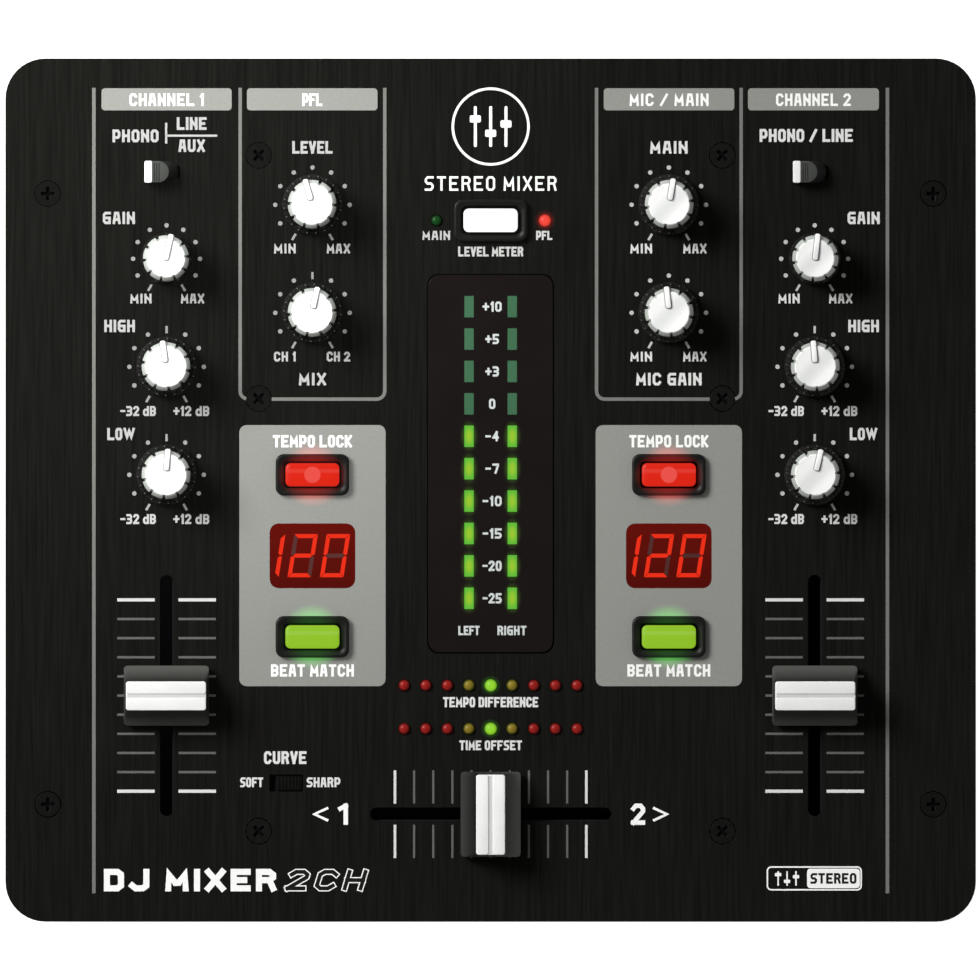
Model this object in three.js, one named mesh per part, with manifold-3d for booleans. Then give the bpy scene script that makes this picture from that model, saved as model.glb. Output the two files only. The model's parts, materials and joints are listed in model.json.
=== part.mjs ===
// A two-channel table-top DJ mixer, in millimetres, +Z up.
// Origin: on the surface it stands on, under the middle of the control panel.
// +X is the user's right and +Y points to the connector side, so the crossfader side faces -Y.
// Channel 1 is at -X and channel 2 at +X. A side of -1 or +1 below means one of these.
import * as THREE from "three";
import { mergeVertices } from "three/addons/utils/BufferGeometryUtils.js";
import Module from "manifold-3d";

const wasm = await Module();
wasm.setup();

// ---- Driving dimensions ----

const INCH = 25.4;
const GAP = 0.3; // between pieces that sit beside or on each other
const SIDES = [-1, 1];

const panel = { width: 228.2, depth: 203, corner: 9.4, thickness: 2, top: 76 };
panel.bottom = panel.top - panel.thickness;

const shell = { width: 222, wall: 1.5, frontInset: 3, rearOverhang: 11.5, corner: 6.5, floor: 4 };
shell.front = -panel.depth / 2 + shell.frontInset;
shell.rear = panel.depth / 2 - shell.rearOverhang;
shell.inner = shell.width / 2 - shell.wall;
shell.floorTop = shell.floor + shell.wall;
shell.top = panel.bottom - GAP;

const foot = { radius: 8, tipRadius: 7, x: 92, frontY: -84, rearY: 72, stemRadius: 2.5, stemTop: 7 };

// Control columns, from the middle of the panel, and the one-inch knob rows.
const outerX = 3 * INCH;
const innerX = 41.9;
const outerKnobY = 29;
const innerKnobY = 41.7;

const knob = { height: 13, lift: 0.6, shaftRadius: 3, shaftDepth: 9.5, gripFrom: 8.8 };
const notch = { count: 10, depth: 0.55, halfShare: 0.2 };
const pointer = { halfWidth: 0.6, overhang: 0.4, rise: 0.4, depth: 1.5 };
const largeKnob = { collar: 7.15, grip: 5.7, face: 4.9, pointerFrom: 1 };
const smallKnob = { collar: 6.1, grip: 5.4, face: 4.45, pointerFrom: -0.4 };
const bush = { radius: 3.9, bore: 3.4, hole: 4.3, top: panel.top - 0.2 };

const fader = { slotLength: 56.7, slotWidth: 3.15, channelY: -48.3, crossY: -76.2 };
const faderBody = { length: 68, width: 13, height: 10, wall: 1.2, top: panel.bottom - GAP };
const faderTab = { thickness: 1.6, width: 5, top: 83, carriage: 8 };
const faderCap = { length: 20, width: 14.1, height: 10, edge: 1.8, lift: 0.9 };
const fingerStrip = { length: 18.8, width: 6.8, chamfer: 0.4, grooveHalf: 0.5, grooveDepth: 0.3 };

const inputSwitch = { y: 74.8, travel: 2.8, length: 8.3, width: 5.4, height: 4.2, lift: 0.4, tang: 5.4 };
const curveSwitch = { x: -48.1, y: -68.9, slotLength: 7.9, slotWidth: 4, length: 6.2, endGap: 0.15 };
curveSwitch.bottom = 71.4;
curveSwitch.top = panel.top - 0.5;

const button = { width: 12.9, depth: 5.7, corner: 1, top: 78.6, flangeTop: 69.7, foot: 68.2, travel: 1.5 };
const bezel = { width: 17.3, depth: 9.8, corner: 1.9, top: 77.6, bottom: 70 };
const bezelNeck = { width: 15.3, depth: 7.8, corner: 1.4 };
const lockButtonY = 3.6;
const beatButtonY = -34.5;
const meterButtonY = 63.4;

const display = { y: -15.45, width: 20.3, depth: 15.4, corner: 2.2, rim: 1.2, bottom: 62 };
const meter = { y: 6.2, width: 29.3, depth: 88.7, corner: 2.6, rim: 1.2, rows: 10, columnX: INCH / 5 };
meter.pitch = 0.3 * INCH;
meter.topRowY = 43.15;

const light = { radius: 1.45, hole: 1.75, top: 76.3, pitch: INCH / 5, count: 9, rows: [-45.9, -56.1] };
const lightCarrier = { width: 48, depth: 16, bottom: 69, top: 70.6 };
const sourceLight = { x: 12.75, baseRadius: 1.9, baseTop: 72 };
const lightBar = { width: 24, depth: 80, top: 66, blockWidth: 2.3, blockDepth: 5.05, blockTop: 72 };

const screw = { head: 3, headTop: panel.top + 0.05, headHeight: 1.1, shank: 1.5 };
const screwSink = { radius: 3.2, depth: 1.35 };
const cornerScrew = { x: 104.1, frontY: -73.9, rearY: 69.7, tip: 66 };
const boardScrew = { x: 54.5, rows: [78.7, 21.5, -80.2] };

const board = { halfWidth: 101, front: -93, rear: 82, bottom: 58, thickness: 1.6 };
board.top = board.bottom + board.thickness;

// What is soldered to the board: a pot under each knob, a key switch under each button, and the
// bodies of the slide switches.
const pot = { width: 10, depth: 11, top: 68 };
const keySwitch = { size: 6, top: 63.5, stem: 1.7 };
const slideBody = { width: 12, depth: 6, inputTop: 70, curveTop: 70.8 };
const spacerRadius = 3;
const boardScrewTip = 72;

const jack = { x: 84, z: 40, bore: 3.3, depth: 32, sleeve: 4.6, nut: 6.6, body: 17 };
const phonoPlug = { pitchX: 16, pitchZ: 16, z: 40, collar: 4.15, bore: 3.3, reach: 8.2, boss: 5.6 };
const socketX = { input_sockets_1: -84, input_sockets_2: -36, output_sockets: 6 };
const groundX = -60;
const data = { x: 38, z: 34, width: 12, height: 11, depth: 16 };
const dataMouth = { width: 8.4, height: 7.7, depth: 10 };
const inlet = { x: 84, z: 32.9, width: 31, height: 49, border: 1.5, flange: 2.2, depth: 24 };
const inletMouth = { width: 24.4, height: 16.4, drop: 12.4, chamfer: 4.5, depth: 17 };
const rocker = { width: 13, halfLength: 9.1, radius: 9.55, valley: 1.6, rise: 1.3, z: 45.2, restTilt: 8 };

// ---- Shape helpers ----

// A closed three.js geometry as a solid that can be joined and cut.
function solidOf(geometry) {
  const source = geometry.index ? geometry.toNonIndexed() : geometry;
  const bare = new THREE.BufferGeometry();
  bare.setAttribute("position", source.getAttribute("position"));
  const merged = mergeVertices(bare, 1e-4);
  const vertProperties = merged.attributes.position.array;
  const triVerts = new Uint32Array(merged.index.array);
  return new wasm.Manifold(new wasm.Mesh({ numProp: 3, vertProperties, triVerts }));
}

function geometryOf(solid) {
  const mesh = solid.getMesh();
  const geometry = new THREE.BufferGeometry();
  geometry.setAttribute("position", new THREE.BufferAttribute(mesh.vertProperties, 3));
  geometry.setIndex(new THREE.BufferAttribute(mesh.triVerts, 1));
  const faceted = geometry.toNonIndexed();
  faceted.computeVertexNormals();
  return faceted;
}

function join(...solids) {
  return solids.reduce((whole, piece) => whole.add(piece));
}

function cut(solid, ...tools) {
  return solid.subtract(join(...tools));
}

function block([x0, x1], [y0, y1], [z0, z1]) {
  const geometry = new THREE.BoxGeometry(x1 - x0, y1 - y0, z1 - z0);
  return solidOf(geometry.translate((x0 + x1) / 2, (y0 + y1) / 2, (z0 + z1) / 2));
}

// A block given by its middle and size in plan.
function slab(x, y, width, depth, z0, z1) {
  return block([x - width / 2, x + width / 2], [y - depth / 2, y + depth / 2], [z0, z1]);
}

function roundedOutline(x, y, width, depth, corner) {
  const [right, back, r] = [x + width / 2, y + depth / 2, corner];
  const [left, front] = [x - width / 2, y - depth / 2];
  return new THREE.Shape()
    .moveTo(left + r, front)
    .lineTo(right - r, front)
    .absarc(right - r, front + r, r, -Math.PI / 2, 0, false)
    .lineTo(right, back - r)
    .absarc(right - r, back - r, r, 0, Math.PI / 2, false)
    .lineTo(left + r, back)
    .absarc(left + r, back - r, r, Math.PI / 2, Math.PI, false)
    .lineTo(left, front + r)
    .absarc(left + r, front + r, r, Math.PI, 1.5 * Math.PI, false);
}

function prism(shape, z0, z1, curveSegments = 1) {
  const geometry = new THREE.ExtrudeGeometry(shape, { depth: z1 - z0, bevelEnabled: false, curveSegments });
  return solidOf(geometry.translate(0, 0, z0));
}

function roundedSlab(x, y, width, depth, corner, z0, z1, curveSegments = 1) {
  return prism(roundedOutline(x, y, width, depth, corner), z0, z1, curveSegments);
}

function rod(x, y, radius, z0, z1, sides = 16) {
  const geometry = new THREE.CylinderGeometry(radius, radius, z1 - z0, sides);
  return solidOf(geometry.rotateX(Math.PI / 2).translate(x, y, (z0 + z1) / 2));
}

// A rod along Y, for what goes through the front or rear wall.
function rodAlongY(x, z, radius, y0, y1, sides = 16) {
  const geometry = new THREE.CylinderGeometry(radius, radius, y1 - y0, sides);
  return solidOf(geometry.translate(x, (y0 + y1) / 2, z));
}

// A turned solid about the Z axis. The profile's [radius, height] points run from the axis at the
// bottom to the axis at the top.
function turned(profile, sides) {
  const points = profile.map(([radius, height]) => new THREE.Vector2(radius, height));
  return solidOf(new THREE.LatheGeometry(points, sides).rotateX(Math.PI / 2));
}

function material(color, roughness, metalness = 0) {
  return new THREE.MeshStandardMaterial({ color, roughness, metalness });
}

const finish = {
  panel: material("#1d1d19", 0.45, 0.6),
  shell: material("#1b1b1a", 0.6, 0.3),
  rubber: material("#141414", 0.9),
  whiteKnob: material("#f2f2ee", 0.35),
  capBlack: material("#2c2c29", 0.5),
  lever: material("#b9bcbc", 0.35, 0.9),
  faderBody: material("#8c9090", 0.4, 0.8),
  switchGrey: material("#5b5e5b", 0.5),
  bezel: material("#1c1c1b", 0.4),
  red: material("#e22c19", 0.3),
  green: material("#91c32f", 0.3),
  white: material("#fbfbf8", 0.3),
  display: material("#650f0b", 0.25),
  meter: material("#1c1817", 0.2),
  light: material("#7d2018", 0.3),
  board: material("#1f5a34", 0.6),
  socket: material("#202020", 0.5),
  nickel: material("#c8c9c6", 0.3, 0.9),
  screw: material("#151514", 0.4, 0.5),
};

const mixer = new THREE.Group();

function add(name, solid, look, position = [0, 0, 0], turn = [0, 0, 0]) {
  const mesh = new THREE.Mesh(geometryOf(solid), look);
  mesh.name = name;
  mesh.position.set(...position);
  mesh.rotation.set(...turn.map(THREE.MathUtils.degToRad));
  mixer.add(mesh);
}

// ---- Knobs: place, size and the pointer's angle at rest, clockwise from the rear ----

const knobs = [
  { name: "gain_knob_1", x: -outerX, y: outerKnobY + INCH, size: smallKnob, angle: 13 },
  { name: "high_knob_1", x: -outerX, y: outerKnobY, size: largeKnob, angle: -7.5 },
  { name: "low_knob_1", x: -outerX, y: outerKnobY - INCH, size: largeKnob, angle: 5 },
  { name: "gain_knob_2", x: outerX, y: outerKnobY + INCH, size: smallKnob, angle: 6.3 },
  { name: "high_knob_2", x: outerX, y: outerKnobY, size: largeKnob, angle: -4.5 },
  { name: "low_knob_2", x: outerX, y: outerKnobY - INCH, size: largeKnob, angle: 13 },
  { name: "phones_level_knob", x: -innerX, y: innerKnobY + INCH, size: largeKnob, angle: -16 },
  { name: "phones_mix_knob", x: -innerX, y: innerKnobY, size: largeKnob, angle: 12.7 },
  { name: "main_level_knob", x: innerX, y: innerKnobY + INCH, size: largeKnob, angle: 9.4 },
  { name: "mic_gain_knob", x: innerX, y: innerKnobY, size: largeKnob, angle: -6 },
];

// The grip's outline: a circle with a shallow notch at every tenth of a turn, one of them at +Y.
function notchedOutline(radius) {
  const { count, depth, halfShare } = notch;
  const step = (2 * Math.PI) / count;
  const points = [];
  for (let i = 0; i < count; i++) {
    for (const [share, r] of [[0, radius - depth], [halfShare, radius], [1 - halfShare, radius]]) {
      const angle = (i + share) * step + Math.PI / 2;
      points.push(new THREE.Vector2(r * Math.cos(angle), r * Math.sin(angle)));
    }
  }
  return new THREE.Shape(points);
}

// A knob at the origin, standing on the panel's top face at height 0, its pointer towards +Y.
function knobSolid({ collar, grip, face, pointerFrom }) {
  const { lift, height, shaftRadius, shaftDepth, gripFrom } = knob;
  const gripTop = height - 0.9;
  const faceTop = height - pointer.rise;
  const body = turned([
    [0, -shaftDepth],
    [shaftRadius, -shaftDepth],
    [shaftRadius, lift],
    [collar, lift],
    [collar, lift + 2.2],
    [grip + 0.6, lift + 4],
    [grip + 0.2, gripFrom + 0.2],
    [0, gripFrom + 0.2],
  ], 12);
  const gripBlock = prism(notchedOutline(grip), gripFrom, gripTop);
  const cap = rod(0, 0, face, gripTop - 0.1, faceTop, 10);
  const { halfWidth, overhang, depth } = pointer;
  const rib = block([-halfWidth, halfWidth], [pointerFrom, grip + overhang], [height - depth, height]);
  return join(body, gripBlock, cap, rib);
}

for (const { name, x, y, size, angle } of knobs) {
  add(name, knobSolid(size), finish.whiteKnob, [x, y, panel.top], [0, 0, -angle]);
}

// ---- Faders: a body under the panel, a lever with its carriage, and a cap ----

const faders = [
  { label: "_1", stem: "channel_fader", x: -outerX, y: fader.channelY, turn: 90 },
  { label: "_2", stem: "channel_fader", x: outerX, y: fader.channelY, turn: 90 },
  { label: "", stem: "crossfader", x: 0, y: fader.crossY, turn: 0 },
];

// These three solids lie with the travel along X and the middle of travel at the origin.
function faderBodySolid() {
  const { length, width, height, wall, top } = faderBody;
  const bottom = top - height;
  const outside = slab(0, 0, length, width, bottom, top);
  const track = slab(0, 0, length - 8, width - 2 * wall, bottom + wall, top - wall);
  const mouth = slab(0, 0, fader.slotLength, faderTab.thickness + 1, top - 2 * wall, top + 1);
  return cut(outside, track, mouth);
}

function faderLeverSolid() {
  const bottom = faderBody.top - faderBody.height + faderBody.wall + 0.5;
  const carriageTop = faderBody.top - faderBody.wall - 0.5;
  const carriageWidth = faderBody.width - 2 * faderBody.wall - 1;
  const carriage = slab(0, 0, faderTab.carriage, carriageWidth, bottom, carriageTop);
  const tab = slab(0, 0, faderTab.width, faderTab.thickness, bottom, faderTab.top);
  return join(carriage, tab);
}

// The cap's section across its finger strip: hollowed slopes up to the strip, with a centre groove.
function capSection() {
  const { chamfer, grooveHalf, grooveDepth } = fingerStrip;
  const { height: top, edge } = faderCap;
  const [half, strip] = [faderCap.width / 2, fingerStrip.width / 2];
  const stripSide = top - 1.5 * chamfer;
  return new THREE.Shape()
    .moveTo(-half, 0)
    .lineTo(half, 0)
    .lineTo(half, edge)
    .quadraticCurveTo(strip + 0.7, 2 * edge, strip, stripSide)
    .lineTo(strip - chamfer, top)
    .lineTo(grooveHalf, top)
    .lineTo(grooveHalf, top - grooveDepth)
    .lineTo(-grooveHalf, top - grooveDepth)
    .lineTo(-grooveHalf, top)
    .lineTo(-strip + chamfer, top)
    .lineTo(-strip, stripSide)
    .quadraticCurveTo(-strip - 0.7, 2 * edge, -half, edge);
}

// The cap's section along its strip: ends that lean in a little towards the top.
function capEndSection() {
  const [half, strip] = [faderCap.length / 2, fingerStrip.length / 2];
  const top = faderCap.height + 1;
  return new THREE.Shape()
    .moveTo(-half, -1)
    .lineTo(half, -1)
    .lineTo(half, faderCap.edge)
    .lineTo(strip, top)
    .lineTo(-strip, top)
    .lineTo(-half, faderCap.edge);
}

function faderCapSolid() {
  const base = panel.top + faderCap.lift;
  const across = prism(capSection(), -faderCap.length / 2, faderCap.length / 2, 4).rotate([90, 0, 0]);
  const along = prism(capEndSection(), -faderCap.width, faderCap.width).rotate([90, 0, 90]);
  const socketWidth = faderTab.width + 2 * GAP;
  const socketDepth = faderTab.thickness + 2 * GAP;
  const socket = slab(0, 0, socketWidth, socketDepth, base - 1, faderTab.top + GAP);
  return cut(across.intersect(along).translate([0, 0, base]), socket);
}

for (const { stem, label, x, y, turn } of faders) {
  const place = [[x, y, 0], [0, 0, turn]];
  add(`${stem}_body${label}`, faderBodySolid(), finish.faderBody, ...place);
  add(`${stem}_lever${label}`, faderLeverSolid(), finish.lever, ...place);
  add(`${stem}_cap${label}`, faderCapSolid(), finish.capBlack, ...place);
}

// ---- Slide switches ----

// A thumb lever with one round end, at rest at the left end of its travel, its tang below the panel.
function inputSwitchSolid() {
  const { length, width, height, lift, tang } = inputSwitch;
  const r = width / 2;
  const thumb = new THREE.Shape()
    .moveTo(-length / 2, -r)
    .lineTo(length / 2 - r, -r)
    .absarc(length / 2 - r, 0, r, -Math.PI / 2, Math.PI / 2, false)
    .lineTo(-length / 2, r);
  const ramp = new THREE.Shape()
    .moveTo(-length, -10)
    .lineTo(length, -10)
    .lineTo(length / 2, 0.9)
    .lineTo(length / 2 - 2.2, height)
    .lineTo(-length, height);
  const lever = prism(thumb, 0, height + 1, 5);
  const slope = prism(ramp, -width, width).rotate([90, 0, 0]);
  const stem = slab(0, 0, 1.6, 2, -tang, 1);
  return join(lever.intersect(slope), stem).translate([0, 0, panel.top + lift]);
}

for (const side of SIDES) {
  const x = side * outerX - inputSwitch.travel / 2;
  add(`input_switch_${side < 0 ? 1 : 2}`, inputSwitchSolid(), finish.switchGrey, [x, inputSwitch.y, 0]);
}

// The curve switch's slider lies below the panel's face, at rest at the right end of its slot.
{
  const { x, y, slotLength, slotWidth, length, endGap, bottom, top } = curveSwitch;
  const middle = x + (slotLength - length) / 2 - endGap;
  const slider = slab(0, 0, length, slotWidth - 0.5, bottom, top);
  add("curve_switch", slider, finish.bezel, [middle, y, 0]);
}

// ---- Push buttons with their bezels ----

const buttons = [
  { cap: "lock_button_1", frame: "lock_bezel_1", x: -innerX, y: lockButtonY, look: finish.red },
  { cap: "lock_button_2", frame: "lock_bezel_2", x: innerX, y: lockButtonY, look: finish.red },
  { cap: "beat_button_1", frame: "beat_bezel_1", x: -innerX, y: beatButtonY, look: finish.green },
  { cap: "beat_button_2", frame: "beat_bezel_2", x: innerX, y: beatButtonY, look: finish.green },
  { cap: "meter_button", frame: "meter_bezel", x: 0, y: meterButtonY, look: finish.white },
];

function buttonSolid() {
  const { width, depth, corner, top, flangeTop, foot: bottom } = button;
  const cap = roundedSlab(0, 0, width, depth, corner, bottom, top);
  const flange = slab(0, 0, width + 1.4, depth + 1.2, bottom, flangeTop);
  return join(cap, flange);
}

function bezelSolid() {
  const { width, depth, corner, top, bottom } = bezel;
  const flange = roundedSlab(0, 0, width, depth, corner, panel.top + 0.1, top);
  const neck = roundedSlab(0, 0, bezelNeck.width, bezelNeck.depth, bezelNeck.corner, bottom, top - 0.2);
  const opening = roundedSlab(0, 0, button.width + 2 * GAP, button.depth + 2 * GAP, 1.1, bottom - 1, top + 1);
  return cut(join(flange, neck), opening);
}

for (const { cap, frame, x, y, look } of buttons) {
  add(frame, bezelSolid(), finish.bezel, [x, y, 0]);
  add(cap, buttonSolid(), look, [x, y, 0]);
}

// ---- Displays, level meter and lights ----

// A flush window with a rim that holds it up against the underside of the panel.
function windowSolid({ width, depth, corner, rim }) {
  const face = roundedSlab(0, 0, width, depth, corner, panel.bottom - 1.5, panel.top + 0.05, 2);
  const ledge = slab(0, 0, width + 2 * rim, depth + 2 * rim, panel.bottom - 1.5, panel.bottom - GAP);
  return join(face, ledge);
}

for (const side of SIDES) {
  const digits = slab(0, 0, display.width - 1, display.depth - 1, display.bottom, panel.bottom - 1);
  const solid = join(windowSolid(display), digits);
  add(`tempo_display_${side < 0 ? 1 : 2}`, solid, finish.display, [side * innerX, display.y, 0]);
}

add("meter_window", windowSolid(meter), finish.meter, [0, meter.y, 0]);

// The light bar behind the meter window: two columns of light blocks on one strip.
{
  const { width, depth, top, blockWidth, blockDepth, blockTop } = lightBar;
  const strip = slab(0, meter.y, width, depth, board.top + GAP, top);
  const blocks = [];
  for (const side of SIDES) {
    for (let row = 0; row < meter.rows; row++) {
      const y = meter.topRowY - row * meter.pitch;
      blocks.push(slab(side * meter.columnX, y, blockWidth, blockDepth, top - 1, blockTop));
    }
  }
  add("meter_light_bar", join(strip, ...blocks), finish.light);
}

// A small round light with a domed tip, standing at the origin.
function lightSolid(radius, bottom) {
  return turned([
    [0, bottom],
    [radius, bottom],
    [radius, light.top],
    [0.7 * radius, light.top + 0.6],
    [0, light.top + 0.8],
  ], 6);
}

// Two rows of nine lights on one carrier, for the tempo difference and the time offset.
{
  const middle = (light.rows[0] + light.rows[1]) / 2;
  const { width, depth, bottom, top } = lightCarrier;
  const carrier = slab(0, middle, width, depth, bottom, top);
  const lamp = lightSolid(light.radius, bottom + 1);
  const lamps = [];
  for (const y of light.rows) {
    for (let i = 0; i < light.count; i++) {
      lamps.push(lamp.translate([(i - (light.count - 1) / 2) * light.pitch, y, 0]));
    }
  }
  add("offset_light_strip", join(carrier, ...lamps), finish.light);
}

for (const [name, side] of [["main_source_light", -1], ["cue_source_light", 1]]) {
  const { baseRadius, baseTop } = sourceLight;
  const base = rod(0, 0, baseRadius, board.top + GAP, baseTop, 8);
  const lamp = join(lightSolid(light.radius, baseTop - 1), base);
  add(name, lamp, finish.light, [side * sourceLight.x, meterButtonY, 0]);
}

// ---- Screws ----

function screwSolid(tip) {
  const { head, headTop, headHeight, shank } = screw;
  const disc = rod(0, 0, head, headTop - headHeight, headTop, 12);
  const body = join(disc, rod(0, 0, shank, tip, headTop - 0.9, 6));
  const recess = [[3.2, 0.8], [0.8, 3.2]].map(([width, depth]) => {
    return slab(0, 0, width, depth, headTop - 0.7, headTop + 1);
  });
  return cut(body, ...recess);
}

for (const side of SIDES) {
  for (const [end, y] of [["front", cornerScrew.frontY], ["rear", cornerScrew.rearY]]) {
    const name = `panel_screw_${end}_${side < 0 ? "left" : "right"}`;
    add(name, screwSolid(cornerScrew.tip), finish.screw, [side * cornerScrew.x, y, 0]);
  }
}

// ---- Control board, with what is soldered to it and its six spacers and screws ----

{
  const { halfWidth, front, rear, bottom, top } = board;
  const sheet = block([-halfWidth, halfWidth], [front, rear], [bottom, top]);
  const parts = [sheet];
  for (const { x, y } of knobs) {
    const can = slab(x, y, pot.width, pot.depth, bottom + 1, pot.top);
    const collar = rod(x, y, bush.radius, pot.top - 1, bush.top, 8);
    parts.push(cut(join(can, collar), rod(x, y, bush.bore, pot.top - 2, bush.top + 1, 8)));
  }
  for (const { x, y } of buttons) {
    const { size, top: switchTop, stem } = keySwitch;
    const stemTop = button.foot - button.travel - GAP;
    parts.push(slab(x, y, size, size, bottom + 1, switchTop), rod(x, y, stem, switchTop - 0.5, stemTop, 8));
  }
  for (const side of SIDES) {
    const { width, depth, inputTop } = slideBody;
    parts.push(slab(side * outerX, inputSwitch.y, width, depth, bottom + 1, inputTop));
    for (const y of boardScrew.rows) {
      const fixing = screwSolid(boardScrewTip).rotate([0, 0, 45]).translate([side * boardScrew.x, y, 0]);
      parts.push(rod(side * boardScrew.x, y, spacerRadius, bottom + 1, panel.bottom - GAP, 6), fixing);
    }
  }
  const { width, depth, curveTop } = slideBody;
  parts.push(slab(curveSwitch.x, curveSwitch.y, width - 1, depth, bottom + 1, curveTop));
  add("control_board", join(...parts), finish.board);
}

// ---- Control panel: a rounded plate with every opening cut through it ----

{
  const through = [panel.bottom - 1, panel.top + 1];
  const screwHole = (x, y) => [
    rod(x, y, screw.shank + 0.4, ...through, 6),
    rod(x, y, screwSink.radius, panel.top - screwSink.depth, panel.top + 1, 12),
  ];
  const tools = [];
  for (const { x, y } of knobs) tools.push(rod(x, y, bush.hole, ...through, 10));
  for (const { x, y, turn } of faders) {
    const [width, depth] = turn ? [fader.slotWidth, fader.slotLength] : [fader.slotLength, fader.slotWidth];
    tools.push(roundedSlab(x, y, width, depth, fader.slotWidth / 2 - 0.01, ...through, 2));
  }
  for (const { x, y } of buttons) {
    const { width, depth, corner } = bezelNeck;
    tools.push(roundedSlab(x, y, width + 2 * GAP, depth + 2 * GAP, corner, ...through));
  }
  for (const side of SIDES) {
    const { width, depth, corner } = display;
    tools.push(slab(side * outerX, inputSwitch.y, 6.2, 2.8, ...through));
    const displaySize = [width + 2 * GAP, depth + 2 * GAP, corner];
    tools.push(roundedSlab(side * innerX, display.y, ...displaySize, ...through, 2));
    tools.push(rod(side * sourceLight.x, meterButtonY, light.hole, ...through, 8));
    for (const y of boardScrew.rows) {
      tools.push(...screwHole(side * boardScrew.x, y));
    }
    for (const y of [cornerScrew.frontY, cornerScrew.rearY]) {
      tools.push(...screwHole(side * cornerScrew.x, y));
    }
  }
  for (const y of light.rows) {
    for (let i = 0; i < light.count; i++) {
      tools.push(rod((i - (light.count - 1) / 2) * light.pitch, y, light.hole, ...through, 8));
    }
  }
  tools.push(slab(curveSwitch.x, curveSwitch.y, curveSwitch.slotLength, curveSwitch.slotWidth, ...through));
  const { y, width, depth, corner } = meter;
  tools.push(roundedSlab(0, y, width + 2 * GAP, depth + 2 * GAP, corner, ...through, 2));
  const plate = roundedSlab(0, 0, panel.width, panel.depth, panel.corner, panel.bottom, panel.top, 5);
  add("top_panel", cut(plate, ...tools), finish.panel);
}

// ---- Case tub: floor, front and side walls folded from one sheet, with four fixing tabs ----

{
  const { width, wall, front, rear, corner, floor, floorTop, top, inner } = shell;
  // The tub's outline, drawn past its open rear end for the inside, so that nothing is left there.
  const outline = (half, near, far, r) => new THREE.Shape()
    .moveTo(-half, far)
    .lineTo(-half, near + r)
    .absarc(-half + r, near + r, r, Math.PI, 1.5 * Math.PI, false)
    .lineTo(half - r, near)
    .absarc(half - r, near + r, r, -Math.PI / 2, 0, false)
    .lineTo(half, far);
  const outside = prism(outline(width / 2, front, rear, corner), floor, top, 3);
  const inside = prism(outline(inner, front + wall, rear + 10, corner - wall), floorTop, top + 1, 3);
  const parts = [cut(outside, inside)];
  const holes = [];
  for (const side of SIDES) {
    for (const y of [cornerScrew.frontY, cornerScrew.rearY]) {
      parts.push(slab(side * (inner - 5), y, 11, 12, top - 2.2, top));
      holes.push(rod(side * cornerScrew.x, y, screw.shank + 0.2, top - 4, top + 1, 8));
    }
    holes.push(rodAlongY(side * jack.x, jack.z, jack.sleeve + GAP, front - 1, front + wall + 1));
    for (const y of [foot.frontY, foot.rearY]) {
      holes.push(rod(side * foot.x, y, foot.stemRadius + GAP, floor - 1, floorTop + 1, 10));
    }
  }
  add("case_tub", cut(join(...parts), ...holes), finish.shell);
}

for (const side of SIDES) {
  for (const [end, y] of [["front", foot.frontY], ["rear", foot.rearY]]) {
    const solid = turned([
      [0, 0],
      [foot.tipRadius, 0],
      [foot.radius, 1],
      [foot.radius, shell.floor - 0.1],
      [foot.stemRadius, shell.floor - 0.1],
      [foot.stemRadius, foot.stemTop],
      [0, foot.stemTop],
    ], 16);
    add(`foot_${end}_${side < 0 ? "left" : "right"}`, solid, finish.rubber, [side * foot.x, y, 0]);
  }
}

// ---- Rear panel and its sockets ----

const rearFace = shell.rear;
const rearBack = shell.rear - shell.wall;

// The four plug positions of one socket block, as [x, z].
function plugPlaces(x) {
  const { pitchX, pitchZ, z } = phonoPlug;
  return SIDES.flatMap((i) => SIDES.map((j) => [x + (i * pitchX) / 2, z + (j * pitchZ) / 2]));
}

{
  const { inner, floorTop, top } = shell;
  const half = inner - 0.2;
  const sheet = block([-half, half], [rearBack, rearFace], [floorTop + 0.2, top]);
  const lip = block([-half, half], [rearBack - 8, rearFace], [floorTop + 0.2, floorTop + 1.7]);
  const through = [rearBack - 1, rearFace + 1];
  const holes = Object.values(socketX).flatMap((x) => {
    return plugPlaces(x).map(([px, pz]) => rodAlongY(px, pz, phonoPlug.boss + GAP, ...through, 10));
  });
  holes.push(rodAlongY(groundX, phonoPlug.z, 2.3, ...through, 12));
  const opening = (at, width, height) => block(
    [at.x - width / 2, at.x + width / 2], through, [at.z - height / 2, at.z + height / 2]);
  holes.push(opening(data, data.width + 2 * GAP, data.height + 2 * GAP));
  const bodyWidth = inlet.width - 2 * inlet.border;
  const bodyHeight = inlet.height - 2 * inlet.border;
  holes.push(opening(inlet, bodyWidth + 2 * GAP, bodyHeight + 2 * GAP));
  add("rear_panel", cut(join(sheet, lip), ...holes), finish.shell);
}

// A block of four phono sockets: the collars stand out behind the rear panel.
for (const [name, x] of Object.entries(socketX)) {
  const { collar, bore, reach, boss, z, pitchX, pitchZ } = phonoPlug;
  const width = pitchX + 2 * boss + 2;
  const height = pitchZ + 2 * boss + 2;
  const base = block(
    [x - width / 2, x + width / 2], [rearBack - 12, rearBack - GAP], [z - height / 2, z + height / 2]);
  const atPlugs = (radius, y0, y1, sides) => {
    return plugPlaces(x).map(([px, pz]) => rodAlongY(px, pz, radius, y0, y1, sides));
  };
  const bosses = atPlugs(boss, rearBack - 1, rearFace + 0.8, 10);
  const collars = atPlugs(collar, rearFace, rearFace + 0.8 + reach, 10);
  const bores = atPlugs(bore, rearFace + 1.5, rearFace + reach + 2, 8);
  add(name, cut(join(base, ...bosses, ...collars), ...bores), finish.socket);
}

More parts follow.
